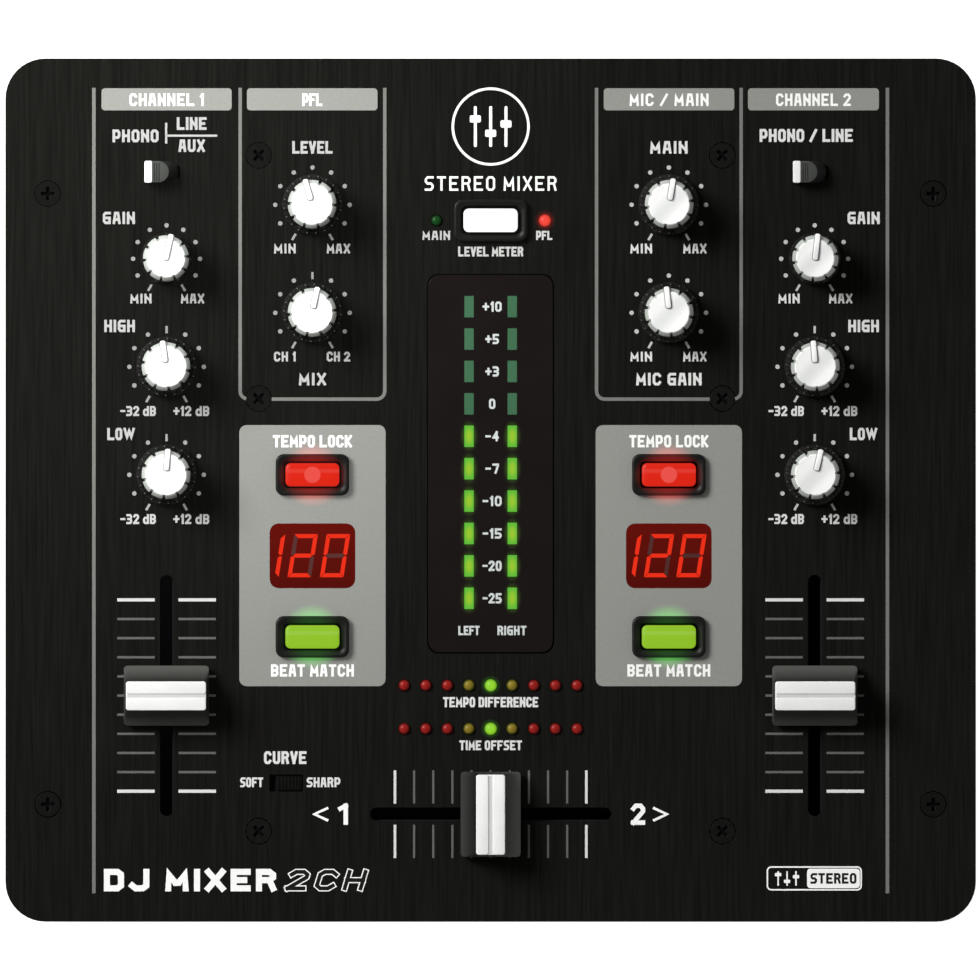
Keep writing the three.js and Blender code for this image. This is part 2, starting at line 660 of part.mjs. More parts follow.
// The ground terminal: a stud through the rear panel with a thumb nut outside and a nut inside.
{
  const stud = rodAlongY(groundX, phonoPlug.z, 2, rearBack - 6, rearFace + 9, 8);
  const thumbNut = rodAlongY(groundX, phonoPlug.z, 4.6, rearFace + 1.6, rearFace + 7.2, 14);
  const washer = rodAlongY(groundX, phonoPlug.z, 4, rearFace + GAP, rearFace + 0.9, 12);
  const backNut = rodAlongY(groundX, phonoPlug.z, 3.8, rearBack - 3, rearBack - GAP, 6);
  add("ground_terminal", join(stud, thumbNut, washer, backNut), finish.nickel);
}

{
  const { x, z, width, height, depth } = data;
  const face = rearFace + 0.5;
  const can = block([x - width / 2, x + width / 2], [face - depth, face], [z - height / 2, z + height / 2]);
  const mouth = block(
    [x - dataMouth.width / 2, x + dataMouth.width / 2], [face - dataMouth.depth, face + 1],
    [z - dataMouth.height / 2, z + dataMouth.height / 2]);
  add("data_socket", cut(can, mouth), finish.nickel);
}

// The mains module: an inlet cavity with two cut corners below, and a pocket for the rocker above.
const pivotY = rearFace + GAP + inlet.flange - 1.5;
{
  const { x, z, width, height, border, flange, depth } = inlet;
  const face = rearFace + GAP + flange;
  const [halfWidth, halfHeight] = [width / 2, height / 2];
  const plate = block(
    [x - halfWidth, x + halfWidth], [rearFace + GAP, face], [z - halfHeight, z + halfHeight]);
  const body = block(
    [x - halfWidth + border, x + halfWidth - border], [face - depth, face],
    [z - halfHeight + border, z + halfHeight - border]);
  const mouthZ = z - inletMouth.drop;
  const [half, high, chamfer] = [inletMouth.width / 2, inletMouth.height / 2, inletMouth.chamfer];
  const mouthOutline = new THREE.Shape()
    .moveTo(-half, -high)
    .lineTo(half, -high)
    .lineTo(half, high - chamfer)
    .lineTo(half - chamfer, high)
    .lineTo(-half + chamfer, high)
    .lineTo(-half, high - chamfer);
  const mouth = prism(mouthOutline, -1, inletMouth.depth).rotate([90, 0, 0]).translate([x, face, mouthZ]);
  const pocketHalf = [rocker.width / 2 + 0.4, rocker.radius + 0.4];
  const pocket = block(
    [x - pocketHalf[0], x + pocketHalf[0]], [pivotY - 9, face + 1],
    [rocker.z - pocketHalf[1], rocker.z + pocketHalf[1]]);
  add("power_inlet", cut(join(plate, body), mouth, pocket), finish.socket);
}

// The rocker's section about its pivot: two faces that meet in a shallow valley and round ends.
{
  const { halfLength, radius, valley, rise, width, restTilt } = rocker;
  const front = valley + rise;
  const end = Math.atan2(halfLength, front);
  const last = THREE.MathUtils.degToRad(115);
  const section = new THREE.Shape()
    .moveTo(valley, 0)
    .lineTo(front, halfLength)
    .absarc(0, 0, radius, end, last, false)
    .lineTo(-7.4, 3)
    .lineTo(-7.4, -3)
    .absarc(0, 0, radius, -last, -end, false);
  const upright = prism(section, -width / 2, width / 2, 5).rotate([90, 0, 90]);
  add("power_rocker", upright, finish.socket, [inlet.x, pivotY, rocker.z], [restTilt, 0, 0]);
}

// ---- Front jacks: a body inside, a threaded sleeve through the wall and a nut outside ----

for (const [name, side] of [["headphone_jack", -1], ["microphone_jack", 1]]) {
  const { z, bore, depth, sleeve, nut, body } = jack;
  const x = side * jack.x;
  const inside = shell.front + shell.wall + GAP;
  const mouth = shell.front - 2.6;
  const can = block([x - body / 2, x + body / 2], [inside, inside + 30], [z - body / 2, z + body / 2]);
  const neck = rodAlongY(x, z, sleeve, mouth, inside + 1);
  const ring = rodAlongY(x, z, nut, shell.front - 2.1, shell.front - GAP, 6);
  const hole = rodAlongY(x, z, bore, mouth - 1, mouth + depth);
  add(name, cut(join(can, neck, ring), hole), finish.nickel);
}

export default mixer;
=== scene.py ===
"""The looks of a two-channel table-top DJ mixer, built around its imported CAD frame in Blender 4.5.

Lengths here are in millimetres, and become metres when a mesh, light or camera is made.
+X is the user's right, +Y points to the connector side and +Z up. Channel 1 is at -X.
"""

import json
import math

import bmesh
import bpy
from mathutils import Matrix, Vector


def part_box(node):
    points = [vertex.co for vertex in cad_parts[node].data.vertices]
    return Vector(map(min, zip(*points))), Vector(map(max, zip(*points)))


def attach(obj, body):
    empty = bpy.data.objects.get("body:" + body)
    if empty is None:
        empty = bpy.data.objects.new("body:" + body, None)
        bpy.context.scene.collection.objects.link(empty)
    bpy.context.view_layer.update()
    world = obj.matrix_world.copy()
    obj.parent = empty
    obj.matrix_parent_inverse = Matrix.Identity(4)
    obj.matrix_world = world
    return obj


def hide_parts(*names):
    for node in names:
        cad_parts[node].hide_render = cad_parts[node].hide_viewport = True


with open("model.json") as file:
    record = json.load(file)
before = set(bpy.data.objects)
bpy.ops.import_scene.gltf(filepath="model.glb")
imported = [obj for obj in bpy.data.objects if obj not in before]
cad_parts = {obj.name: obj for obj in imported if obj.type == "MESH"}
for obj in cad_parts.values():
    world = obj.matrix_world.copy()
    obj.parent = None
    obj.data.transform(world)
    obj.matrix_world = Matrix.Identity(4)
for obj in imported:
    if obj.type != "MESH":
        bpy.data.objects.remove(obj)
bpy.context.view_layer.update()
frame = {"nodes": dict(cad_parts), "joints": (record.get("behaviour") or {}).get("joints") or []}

MM = 0.001
INCH = 25.4
SIDES = (-1, 1)


class Place:
    """Where a CAD node is at rest, in millimetres."""

    def __init__(self, node):
        self.low, self.high = (Vector(corner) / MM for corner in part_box(node))
        self.x, self.y, self.z = (self.low + self.high) / 2
        self.width, self.depth = (self.high - self.low).xy


TOP = Place("top_panel").high.z
FRONT_FACE = Place("case_tub").low.y
REAR_FACE = Place("rear_panel").high.y
OUTER_X = Place("high_knob_2").x
INNER_X = Place("mic_gain_knob").x


# ---- Shapes ----


def around(x, y, radius, angle, z):
    """The point at this radius and angle about (x, y), at height z."""
    return x + radius * math.cos(angle), y + radius * math.sin(angle), z


def circle(x, y, radius, z, count=48):
    turn = 2 * math.pi / count
    return [around(x, y, radius, i * turn, z) for i in range(count)]


def rounded(x, y, width, depth, corner, z, steps=5):
    """A rectangle with round corners, as a ring of points at height z."""
    corner = max(min(corner, width / 2 - 0.001, depth / 2 - 0.001), 0.001)
    points = []
    for quarter, (sx, sy) in enumerate(((1, 1), (-1, 1), (-1, -1), (1, -1))):
        cx = x + sx * (width / 2 - corner)
        cy = y + sy * (depth / 2 - corner)
        for i in range(steps + 1):
            points.append(around(cx, cy, corner, (quarter + i / steps) * math.pi / 2, z))
    return points


def toothed(count, half_width, arc_steps):
    """Angles round a circle with a notch at each of count places, the first at +Y.

    Gives (angle, share of the notch's depth) pairs. half_width is the notch's, in radians."""
    notch = ((-1, 0), (-0.6, 1), (0.6, 1), (1, 0))
    pairs = []
    step = 2 * math.pi / count
    for i in range(count):
        middle = math.pi / 2 + i * step
        pairs += [(middle + share * half_width, deep) for share, deep in notch]
        free = step - 2 * half_width
        pairs += [(middle + half_width + free * k / arc_steps, 0) for k in range(1, arc_steps)]
    return pairs


def toothed_ring(pairs, radius, z, depth):
    return [around(0, 0, radius - depth * deep, angle, z) for angle, deep in pairs]


# Capitals, figures and signs as pen strokes on a grid: two digits for each point, across then up.
GLYPH_HEIGHT = 6
LETTER_GAP = 3.2
WORD_GAP = 3
GLYPHS = {
    "A": "00 16 36 40|12 32", "B": "00 06|06 36 45 44 33 03|33 42 41 30 00", "C": "45 36 16 05 01 10 30 41",
    "D": "00 06 36 45 41 30 00", "E": "46 06 00 40|03 33", "F": "46 06 00|03 33",
    "G": "46 16 05 01 10 40 43 23", "H": "06 00|46 40|03 43", "I": "00 06", "J": "46 41 30 10 01",
    "K": "06 00|46 13 40", "L": "06 00 40", "M": "00 06 22 32 56 50", "N": "00 06|40 46|05 41",
    "O": "01 05 16 36 45 41 30 10 01", "P": "00 06|06 36 45 43 32 02", "R": "00 06|06 36 45 44 33 03|33 40",
    "S": "46 16 05 04 13 33 42 41 30 00", "T": "06 46|26 20", "U": "06 01 10 30 41 46", "V": "06 20|46 20",
    "W": "06 20 46 60 86", "X": "00 46|06 40", "d": "46 40|40 10 01 03 14 44",
    "0": "01 05 16 36 45 41 30 10 01", "1": "15 26|26 20", "2": "05 16 36 45 44 00|00 40",
    "3": "06 36 45 44 33 13|33 42 41 30 00", "4": "30 36|36 02|02 42", "5": "46 06 03 33 42 41 30 00",
    "7": "06 46 45 20", "+": "03 43|25 21", "-": "13 43", "/": "00 46",
}


class Shape:
    """Closed surfaces in millimetres, with a paint number for each face, gathered into one mesh."""

    def __init__(self, place=None):
        self.place = place or Matrix()
        self.points = []
        self.faces = []
        self.paints = []

    def loft(self, rings, paint=0, closed=False):
        """A surface through rings of equally many points, with capped ends, or joined up if closed.

        paint is one number, or one for each band between two rings."""
        first, count, rows = len(self.points), len(rings[0]), len(rings)
        for ring in rings:
            self.points += [self.place @ Vector(point) for point in ring]
        bands = rows if closed else rows - 1
        paints = [paint] * bands if isinstance(paint, int) else list(paint)
        for row in range(bands):
            near, far = first + row * count, first + (row + 1) % rows * count
            for i in range(count):
                j = (i + 1) % count
                self.faces.append((near + i, near + j, far + j, far + i))
                self.paints.append(paints[row])
        if not closed:
            self.faces.append(tuple(range(first + count - 1, first - 1, -1)))
            self.faces.append(tuple(range(first + (rows - 1) * count, first + rows * count)))
            self.paints += [paints[0], paints[-1]]

    def slab(self, x, y, width, depth, corner, low, high, bevel=0.0, paint=0):
        """A rounded block, its upper and lower edges rounded off by bevel."""
        rings = [(low, bevel), (low + bevel, 0)] if bevel else [(low, 0)]
        turns = 3 if bevel else 0
        for k in range(turns + 1):
            angle = math.pi / 2 * k / max(turns, 1)
            rings.append((high - bevel * (1 - math.sin(angle)), bevel * (1 - math.cos(angle))))
        self.loft([rounded(x, y, width - 2 * e, depth - 2 * e, corner - e / 2, z) for z, e in rings], paint)

    def turn(self, x, y, profile, count=48, paint=0, closed=False):
        """A turned shape about the line through (x, y) along Z, from (radius, height) points."""
        self.loft([circle(x, y, max(r, 0.001), z, count) for r, z in profile], paint, closed)

    def washer(self, x, y, outer, inner, low, high, count=48, paint=0):
        self.turn(x, y, [(outer, low), (outer, high), (inner, high), (inner, low)], count, paint, closed=True)

    def stroke(self, path, width, low, high, paint=0, reach=0.0):
        """A flat line of print through the points of path. Its ends run on by reach.

        A path that ends where it starts is closed."""
        closed = path[0] == path[-1]
        points = [Vector(point) for point in (path[:-1] if closed else path)]
        rings = []
        for i, point in enumerate(points):
            into = (point - points[i - 1]).normalized() if i or closed else None
            last = i + 1 == len(points)
            out = (points[0 if last else i + 1] - point).normalized() if closed or not last else None
            if into is None:
                point, into = point - out * reach, out
            elif out is None:
                point, out = point + into * reach, into
            normal = Vector((-into.y - out.y, into.x + out.x)).normalized()
            lean = normal.dot(Vector((-into.y, into.x)))
            inner, outer = [width / 2 / max(lean, limit) for limit in (0.2, 0.7)]
            turns_left = into.x * out.y > into.y * out.x
            left = point + normal * (inner if turns_left else outer)
            right = point - normal * (outer if turns_left else inner)
            rings.append([(*left, low), (*right, low), (*right, high), (*left, high)])
        self.loft(rings, paint, closed)

    def prism(self, plan, low, high, paint=0):
        self.loft([[(x, y, low) for x, y in plan], [(x, y, high) for x, y in plan]], paint)

    def frame(self, x, y, width, depth, corner, line, low, high):
        """A rounded outline of the given line width, drawn inside width and depth."""
        outer = [rounded(x, y, width, depth, corner, z) for z in (low, high)]
        inner = [rounded(x, y, width - 2 * line, depth - 2 * line, corner - line, z) for z in (high, low)]
        self.loft(outer + inner, closed=True)

    def text(self, body, x, y, width, height, low, high, weight=0.21, slant=0.0):
        """Squared lettering that fills width and height about (x, y). weight is the pen's share of height.

        Strokes that cross end at slightly different heights, so that no two faces coincide."""
        pen = weight * height
        lines = []
        edge = 0
        for letter in body:
            if letter == " ":
                edge += WORD_GAP
                continue
            strokes = [[(int(u), int(v)) for u, v in line.split()] for line in GLYPHS[letter].split("|")]
            left = min(u for line in strokes for u, v in line)
            right = max(u for line in strokes for u, v in line)
            lines += [[(u - left + edge, v) for u, v in line] for line in strokes]
            edge += right - left + LETTER_GAP
        edge -= LETTER_GAP
        step = 0.2 * (high - low) / 3
        across, up = (width - pen) / max(edge, 0.001), (height - pen) / GLYPH_HEIGHT
        for i, line in enumerate(lines):
            path = []
            for u, v in line:
                rise = (v - GLYPH_HEIGHT / 2) * up
                path.append((x + (u - edge / 2) * across + rise * slant, y + rise))
            self.stroke(path, pen, low, high - i % 3 * step, reach=pen / 2)


def soften(mesh, sharp_degrees):
    """Points the faces outwards and shades them smooth, except across edges over sharp_degrees."""
    work = bmesh.new()
    work.from_mesh(mesh)
    bmesh.ops.remove_doubles(work, verts=work.verts, dist=1e-7)
    bmesh.ops.recalc_face_normals(work, faces=work.faces)
    for face in work.faces:
        face.smooth = True
    for edge in work.edges:
        edge.smooth = len(edge.link_faces) == 2 and edge.calc_face_angle(0) < math.radians(sharp_degrees)
    work.to_mesh(mesh)
    work.free()


def add_object(name, data):
    made = bpy.data.objects.new(name, data)
    bpy.context.scene.collection.objects.link(made)
    return made


def piece(name, shape, paints, *, body="root", stands_for=(), sharp=32):
    """A named piece made of a shape, riding on a CAD body."""
    mesh = bpy.data.meshes.new(name)
    mesh.from_pydata([tuple(point * MM) for point in shape.points], [], shape.faces)
    for paint in paints:
        mesh.materials.append(paint.material)
    mesh.polygons.foreach_set("material_index", shape.paints)
    soften(mesh, sharp)
    made = add_object(name, mesh)
    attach(made, body)
    if stands_for:
        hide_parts(*stands_for)


def dress(node, paint, bevel=0.25, segments=2):
    """Gives a CAD node its paint, and rounds off its edges without touching its mesh."""
    carried = frame["nodes"][node]
    carried.data.materials.clear()
    carried.data.materials.append(paint.material)
    weld = carried.modifiers.new("weld", "WELD")
    weld.merge_threshold = 0.002 * MM
    merge = carried.modifiers.new("merge_flat_faces", "DECIMATE")
    merge.decimate_type = "DISSOLVE"
    merge.angle_limit = math.radians(1)
    edges = carried.modifiers.new("soft_edges", "BEVEL")
    edges.width = bevel * MM
    edges.segments = segments
    edges.limit_method = "ANGLE"
    edges.angle_limit = math.radians(35)
    carried.modifiers.new("even_shading", "WEIGHTED_NORMAL")
    for polygon in carried.data.polygons:
        polygon.use_smooth = True


# ---- Paints ----


class Paint:
    """A Principled material, with short ways to vary it over the surface in the piece's own frame."""

    def __init__(self, name, colour, roughness, metallic=0.0, glow=None, **shader):
        self.material = bpy.data.materials.new(name)
        self.material.use_nodes = True
        self.nodes = self.material.node_tree.nodes
        self.links = self.material.node_tree.links
        self.shader = self.nodes["Principled BSDF"]
        self.colour = colour
        self.set(self.shader, Base_Color=colour, Roughness=roughness, Metallic=metallic, **shader)
        if glow:
            self.set(self.shader, Emission_Color=glow, Emission_Strength=1)

    def feed(self, socket, value):
        """Links the socket to value if that is another node's output, or else sets it."""
        if isinstance(value, bpy.types.NodeSocket):
            self.links.new(value, socket)
        else:
            socket.default_value = (*value, 1) if socket.type == "RGBA" else value

    def set(self, node, **inputs):
        for socket, value in inputs.items():
            self.feed(node.inputs[socket.replace("_", " ")], value)

    def node(self, kind, **inputs):
        made = self.nodes.new("ShaderNode" + kind)
        self.set(made, **inputs)
        return made

    def where(self, scale=(1, 1, 1), middle=(0, 0, 0)):
        """The point on the piece, in millimetres from middle, times scale."""
        origin = self.node("TexCoord").outputs["Object"]
        move = [-m * s for m, s in zip(middle, scale)]
        mapping = self.node("Mapping", Vector=origin, Location=move, Scale=[s / MM for s in scale])
        return mapping.outputs["Vector"]

    def noise(self, per_mm, detail=2.0, stretch=(1, 1, 1)):
        made = self.node("TexNoise", Vector=self.where(stretch), Scale=per_mm, Detail=detail)
        return made.outputs["Fac"]

    def spread(self, value, low, high, from_low=0.3, from_high=0.7, smooth=False):
        """value from from_low..from_high, turned into low..high and kept within it."""
        made = self.node("MapRange", Value=value)
        made.interpolation_type = "SMOOTHSTEP" if smooth else "LINEAR"
        self.set(made, From_Min=from_low, From_Max=from_high, To_Min=low, To_Max=high)
        return made.outputs["Result"]

    def blend(self, factor, low, high, mode="MIX"):
        """The colour low where factor is 0, and high where it is 1, or their sum in mode ADD."""
        made = self.nodes.new("ShaderNodeMix")
        made.data_type = "RGBA"
        made.blend_type = mode
        for socket, value in ((made.inputs["Factor"], factor), (made.inputs[6], low), (made.inputs[7], high)):
            self.feed(socket, value)
        return made.outputs[2]

    def mottle(self, value, low=0.85, high=1.15):
        """The colour varies from low to high times its own, as value goes from 0.3 to 0.7."""
        tones = [tuple(channel * share for channel in self.colour) for share in (low, high)]
        return self.use(self.blend(self.spread(value, 0, 1), *tones))

    def uneven(self, value, low, high):
        return self.use(self.spread(value, low, high), "Roughness")

    def bump(self, value, height):
        """value shapes the surface, with height in millimetres."""
        made = self.node("Bump", Height=value, Strength=1.0, Distance=height * MM)
        return self.use(made.outputs["Normal"], "Normal")

    def math(self, operation, *values):
        made = self.nodes.new("ShaderNodeMath")
        made.operation = operation
        for socket, value in zip(made.inputs, values):
            self.feed(socket, value)
        return made.outputs["Value"]

    def facing(self, x, y, z):
        """How nearly the surface faces along (x, y, z), from -1 to 1."""
        made = self.nodes.new("ShaderNodeVectorMath")
        made.operation = "DOT_PRODUCT"
        self.links.new(self.node("TexCoord").outputs["Normal"], made.inputs[0])
        made.inputs[1].default_value = (x, y, z)
        return made.outputs["Value"]

    def plan(self, x=0, y=0):
        """How far a point is to the right of x, and how far behind y."""
        parts = self.node("SeparateXYZ", Vector=self.where(middle=(x, y, 0)))
        return parts.outputs["X"], parts.outputs["Y"]

    def height(self):
        return self.node("SeparateXYZ", Vector=self.where()).outputs["Z"]

    def length(self, dx, dy):
        squares = [self.math("MULTIPLY", side, side) for side in (dx, dy)]
        return self.math("SQRT", self.math("ADD", *squares))

    def distance(self, x, y, reach=0.0):
        """How far a point is in plan from (x, y), or from a line reaching to both sides of it."""
        dx, dy = self.plan(x, y)
        if reach:
            dx = self.math("MAXIMUM", self.math("SUBTRACT", self.math("ABSOLUTE", dx), reach), 0)
        return self.length(dx, dy)

    def lattice(self, x, step_x, y, step_y, squash=1.0):
        """How far a point is in plan from the nearest of many, step_x and step_y apart. squash is for y."""
        dx, dy = self.plan(x, y)
        dx = self.math("PINGPONG", dx, step_x / 2)
        dy = self.math("MULTIPLY", self.math("PINGPONG", dy, step_y / 2), squash)
        return self.length(dx, dy)

    def use(self, value, socket="Base Color"):
        self.links.new(value, self.shader.inputs[socket])
        if socket == "Emission Color":
            self.shader.inputs["Emission Strength"].default_value = 1
        return self

    def halo(self, spots):
        """Light thrown on upward faces round each (x, y, reach, inner, outer, colour) spot."""
        total = None
        for x, y, reach, inner, outer, colour in spots:
            share = self.spread(self.distance(x, y, reach), 1, 0, inner, outer, smooth=True)
            tone = self.blend(share, (0, 0, 0), colour)
            total = tone if total is None else self.blend(1, total, tone, "ADD")
        upward = self.spread(self.facing(0, 0, 1), 0, 1, 0, 0.5)
        return self.use(self.blend(upward, (0, 0, 0), total), "Emission Color")


def plastic(name, colour, roughness, grain=1.5, relief=0.004, **shader):
    """Moulded plastic: a fine grain, with slight changes of tone and gloss."""
    made = Paint(name, colour, roughness, **shader)
    fine = made.noise(grain, 3)
    made.mottle(made.noise(0.08, 3), 0.94, 1.06)
    made.uneven(fine, roughness * 0.85, roughness * 1.2)
    return made.bump(fine, relief)


def lit(name, colour, glow):
    """A diffusing plastic lit from inside."""
    made = Paint(name, colour, 0.35, glow=glow, Specular_IOR_Level=0.12)
    return made.bump(made.noise(1.2, 2), 0.003)


def lens(name, tip, rim, glow=(0, 0, 0)):
    """A small domed light, with painted shade that darkens it towards its rim, where the dome turns away from
    straight up.
    """
    made = Paint(name, tip, 0.3, Specular_IOR_Level=0.12)
    middle = made.spread(made.facing(0, 0, 1), 0, 1, 0.45, 0.98, smooth=True)
    made.use(made.blend(middle, rim, tip))
    made.use(made.blend(middle, [0.6 * channel for channel in glow], glow), "Emission Color")
    return made.bump(made.noise(2.0, 2), 0.003)


def plated(name, colour, roughness):
    """Plated or plain metal with faint handling marks."""
    made = Paint(name, colour, roughness, metallic=1.0)
    made.mottle(made.noise(0.12, 2), 0.94, 1.05)
    return made.uneven(made.noise(0.25, 2), roughness * 0.88, roughness * 1.15)


LIGHT_ROWS = (-45.9, -56.1)
LIGHT_PITCH = INCH / 5
LAMP_RADIUS = 1.42


def brushed_black():
    """The panel's black lacquer over metal brushed along Y, with the lights' glow on it."""
    made = Paint("panel_black", (0.0068, 0.0067, 0.0057), 0.36, Specular_IOR_Level=0.06)
    streaks = made.noise(1.5, 4, (1, 0.03, 1))
    made.mottle(streaks, 0.72, 1.28)
    made.uneven(streaks, 0.33, 0.42)
    made.bump(made.noise(3.0, 3, (1, 0.03, 1)), 0.001)
    source = Place("cue_source_light")
    green = (0.012, 0.055, 0.003)
    spots = [(0, y, 0, 1.2, 2.5, green) for y in LIGHT_ROWS]
    return made.halo(spots + [(source.x, source.y, 0, 1.2, 2.6, (0.09, 0.004, 0.003))])


def powder_coat():
    made = Paint("case_black", (0.013, 0.013, 0.0125), 0.55)
    texture = made.noise(1.9, 3)
    made.mottle(made.noise(0.05, 3), 0.85, 1.2)
    made.uneven(texture, 0.5, 0.64)
    return made.bump(texture, 0.035)


SCREW_BLACK = (0.0048, 0.0048, 0.0043)


def screw_recess_shade(made):
    """Black on the screws' flat heads, with painted shade that darkens their recesses and their sides."""
    on_head = made.spread(made.height(), 0, 1, TOP - 0.2, TOP - 0.1)
    return made.blend(on_head, (0.001, 0.001, 0.001), SCREW_BLACK)


def screw_black():
    made = plastic("screw_black", SCREW_BLACK, 0.4, Specular_IOR_Level=0.08)
    return made.use(screw_recess_shade(made))


def rubber():
    made = Paint("foot_rubber", (0.014, 0.014, 0.014), 0.85)
    made.mottle(made.noise(0.3, 4), 0.8, 1.3)
    return made.bump(made.noise(2.5, 3), 0.02)


def print_ink(name, colour):
    """Screen-printed ink, very slightly uneven."""
    made = Paint(name, colour, 0.5, Specular_IOR_Level=0.2)
    return made.mottle(made.noise(1.5, 3), 0.96, 1.04)


def legend_ink_with_painted_shade(name, tone_under_spot, tone_away_from_spot):
    """The legends' off-white, with painted shade that darkens it towards the panel's left rear corner, under
    the corner spot's pool of light.
    """
    made = print_ink(name, (tone_away_from_spot, tone_away_from_spot, 0.97 * tone_away_from_spot))
    share = made.spread(made.distance(-75, 75), 0, 1, 45, 130, smooth=True)
    return made.use(made.blend(share, (tone_under_spot, tone_under_spot, 0.97 * tone_under_spot), (tone_away_from_spot, tone_away_from_spot, 0.97 * tone_away_from_spot)))


paint = {
    "panel": brushed_black(),
    "case": powder_coat(),
    "rubber": rubber(),
    "white": plastic("knob_white", (0.76, 0.76, 0.745), 0.3),
    # The grey of the knob caps' bevel ring is painted shade on white plastic.
    "knob_bevel_shade": plastic("knob_bevel_shade", (0.36, 0.38, 0.35), 0.4),
    # The darker grey round each knob pointer is a painted shadow line.
    "knob_seam": plastic("knob_seam", (0.24, 0.24, 0.24), 0.5, Specular_IOR_Level=0.1),
    "knob_black": plastic("knob_black", (0.0085, 0.0085, 0.0075), 0.42, Specular_IOR_Level=0.25),
    # The lighter grey on the skirts' small ribs is a painted highlight.
    "knob_rib_highlight": plastic("knob_rib_highlight", (0.075, 0.076, 0.07), 0.4),
    "cap_groove": plastic("fader_groove", (0.55, 0.55, 0.54), 0.5),
    "switch_grey": plastic("switch_grey", (0.05, 0.053, 0.048), 0.45, Specular_IOR_Level=0.25),
    # A darker copy of the switch grey, as painted shade.
    "switch_grey_shaded": plastic("switch_grey_shaded", (0.018, 0.019, 0.0175), 0.45, Specular_IOR_Level=0.25),
    "slider_black": plastic("slider_black", (0.005, 0.005, 0.0045), 0.45, Specular_IOR_Level=0.2),
    "curve_black": plastic("curve_black", (0.0036, 0.0036, 0.0031), 0.5, Specular_IOR_Level=0.05),
    "socket": plastic("socket_black", (0.012, 0.012, 0.012), 0.45),
    "socket_white": plastic("socket_white", (0.72, 0.72, 0.68), 0.45),
    "socket_red": plastic("socket_red", (0.45, 0.02, 0.015), 0.45),
    "steel": plated("lever_steel", (0.55, 0.56, 0.56), 0.35),
    "fader_body": plastic("fader_body_black", (0.007, 0.007, 0.007), 0.5, Specular_IOR_Level=0.1),
    "nickel": plated("socket_nickel", (0.6, 0.6, 0.57), 0.24),
    "brass": plated("contact_brass", (0.62, 0.5, 0.25), 0.3),
    "screw": screw_black(),
    # Near black for the insides of slots and bores, as painted shade.
    "hole": Paint("hole_shade_black", (0.002, 0.002, 0.002), 0.8),
    # The legends' and the knob scales' inks carry painted shade towards the left rear corner.
    "ink": legend_ink_with_painted_shade("print_white", 0.37, 0.63),
    "ink_dots": legend_ink_with_painted_shade("print_dots", 0.24, 0.46),
    "ink_bright": print_ink("print_bright", (0.85, 0.85, 0.83)),
    "ink_faint": print_ink("print_faint", (0.105, 0.105, 0.102)),
    "ink_line": print_ink("print_line", (0.15, 0.153, 0.14)),
    "ink_grey": print_ink("print_grey", (0.235, 0.238, 0.218)),
    "ink_label": print_ink("print_label", (0.5, 0.53, 0.52)),
}


# ---- Control panel and its print ----

INK = 0.03
PRINT = (TOP, TOP + INK)
HEADER_Y = 91.9
COLUMN_LINES = (58.9, 24.9)
LINE_TOP = 94.6


def panel():
    """The panel keeps its CAD shape, with softened edges."""
    dress("top_panel", paint["panel"], bevel=0.12)


def bearing(x, y, reach, degrees):
    """The point at this reach from (x, y), degrees clockwise from +Y."""
    angle = math.radians(degrees)
    return x + reach * math.sin(angle), y + reach * math.cos(angle)


def knob_scale(dots, x, y, radius, top_dash):
    """Dots every 30 degrees round a knob, with dashes at both ends of its turn."""
    dot, half_dash = 1.05, 0.85
    for step in range(-4, 5):
        if step or not top_dash:
            dots.slab(*bearing(x, y, radius, 30 * step), dot, dot, 0.52, *PRINT)
    for degrees in (-150, 0, 150) if top_dash else (-150, 150):
        ends = [bearing(x, y, radius + way * half_dash, degrees) for way in SIDES]
        dots.stroke(ends, 0.55, *PRINT)


def write(ink, body, x, y, width, height, **options):
    ink.text(body, x, y, width, height, *PRINT, **options)


TICK_PITCH = 4.5


def fader_scale(ends, between, x, y, reach, widths, upright=False):
    """Eleven ticks on each side of a fader's slot, in stronger ink at both ends of its travel."""
    for step in range(-5, 6):
        shape, width = (ends, widths[0]) if abs(step) == 5 else (between, widths[1])
        offset = TICK_PITCH * step
        for way in SIDES:
            if upright:
                tick = [(x + offset, y + way * r) for r in reach]
            else:
                tick = [(x + way * r, y + offset) for r in reach]
            shape.stroke(tick, width, *PRINT)


def channel_print(ink, dots, faint, side):
    """What is printed round one channel's knobs, switch and fader."""
    x = side * OUTER_X
    number = 1 if side < 0 else 2
    for label, knob, width in (("GAIN", "gain", 7.55), ("HIGH", "high", 7.2), ("LOW", "low", 6.5)):
        at = Place(f"{knob}_knob_{number}")
        middle = 87.7 if side > 0 else -83.65 - width / 2
        write(ink, label, middle, at.y + 9.6, width, 2.9)
        knob_scale(dots, at.x, at.y, 7.86 if knob == "gain" else 8.75, knob != "gain")
        if knob == "gain":
            write(ink, "MIN", x - 6.05, at.y - 9.35, 5.0, 2.3)
            write(ink, "MAX", x + 6.1, at.y - 9.35, 5.5, 2.3)
        else:
            write(ink, "-32 dB", x - 6.7, at.y - 10.4, 8.35, 2.35)
            write(ink, "+12 dB", x + 5.8, at.y - 10.4, 8.45, 2.35)
    fader = Place(f"channel_fader_body_{number}")
    fader_scale(ink, faint, x, fader.y, (2.8, 11.6), (0.75, 0.55))


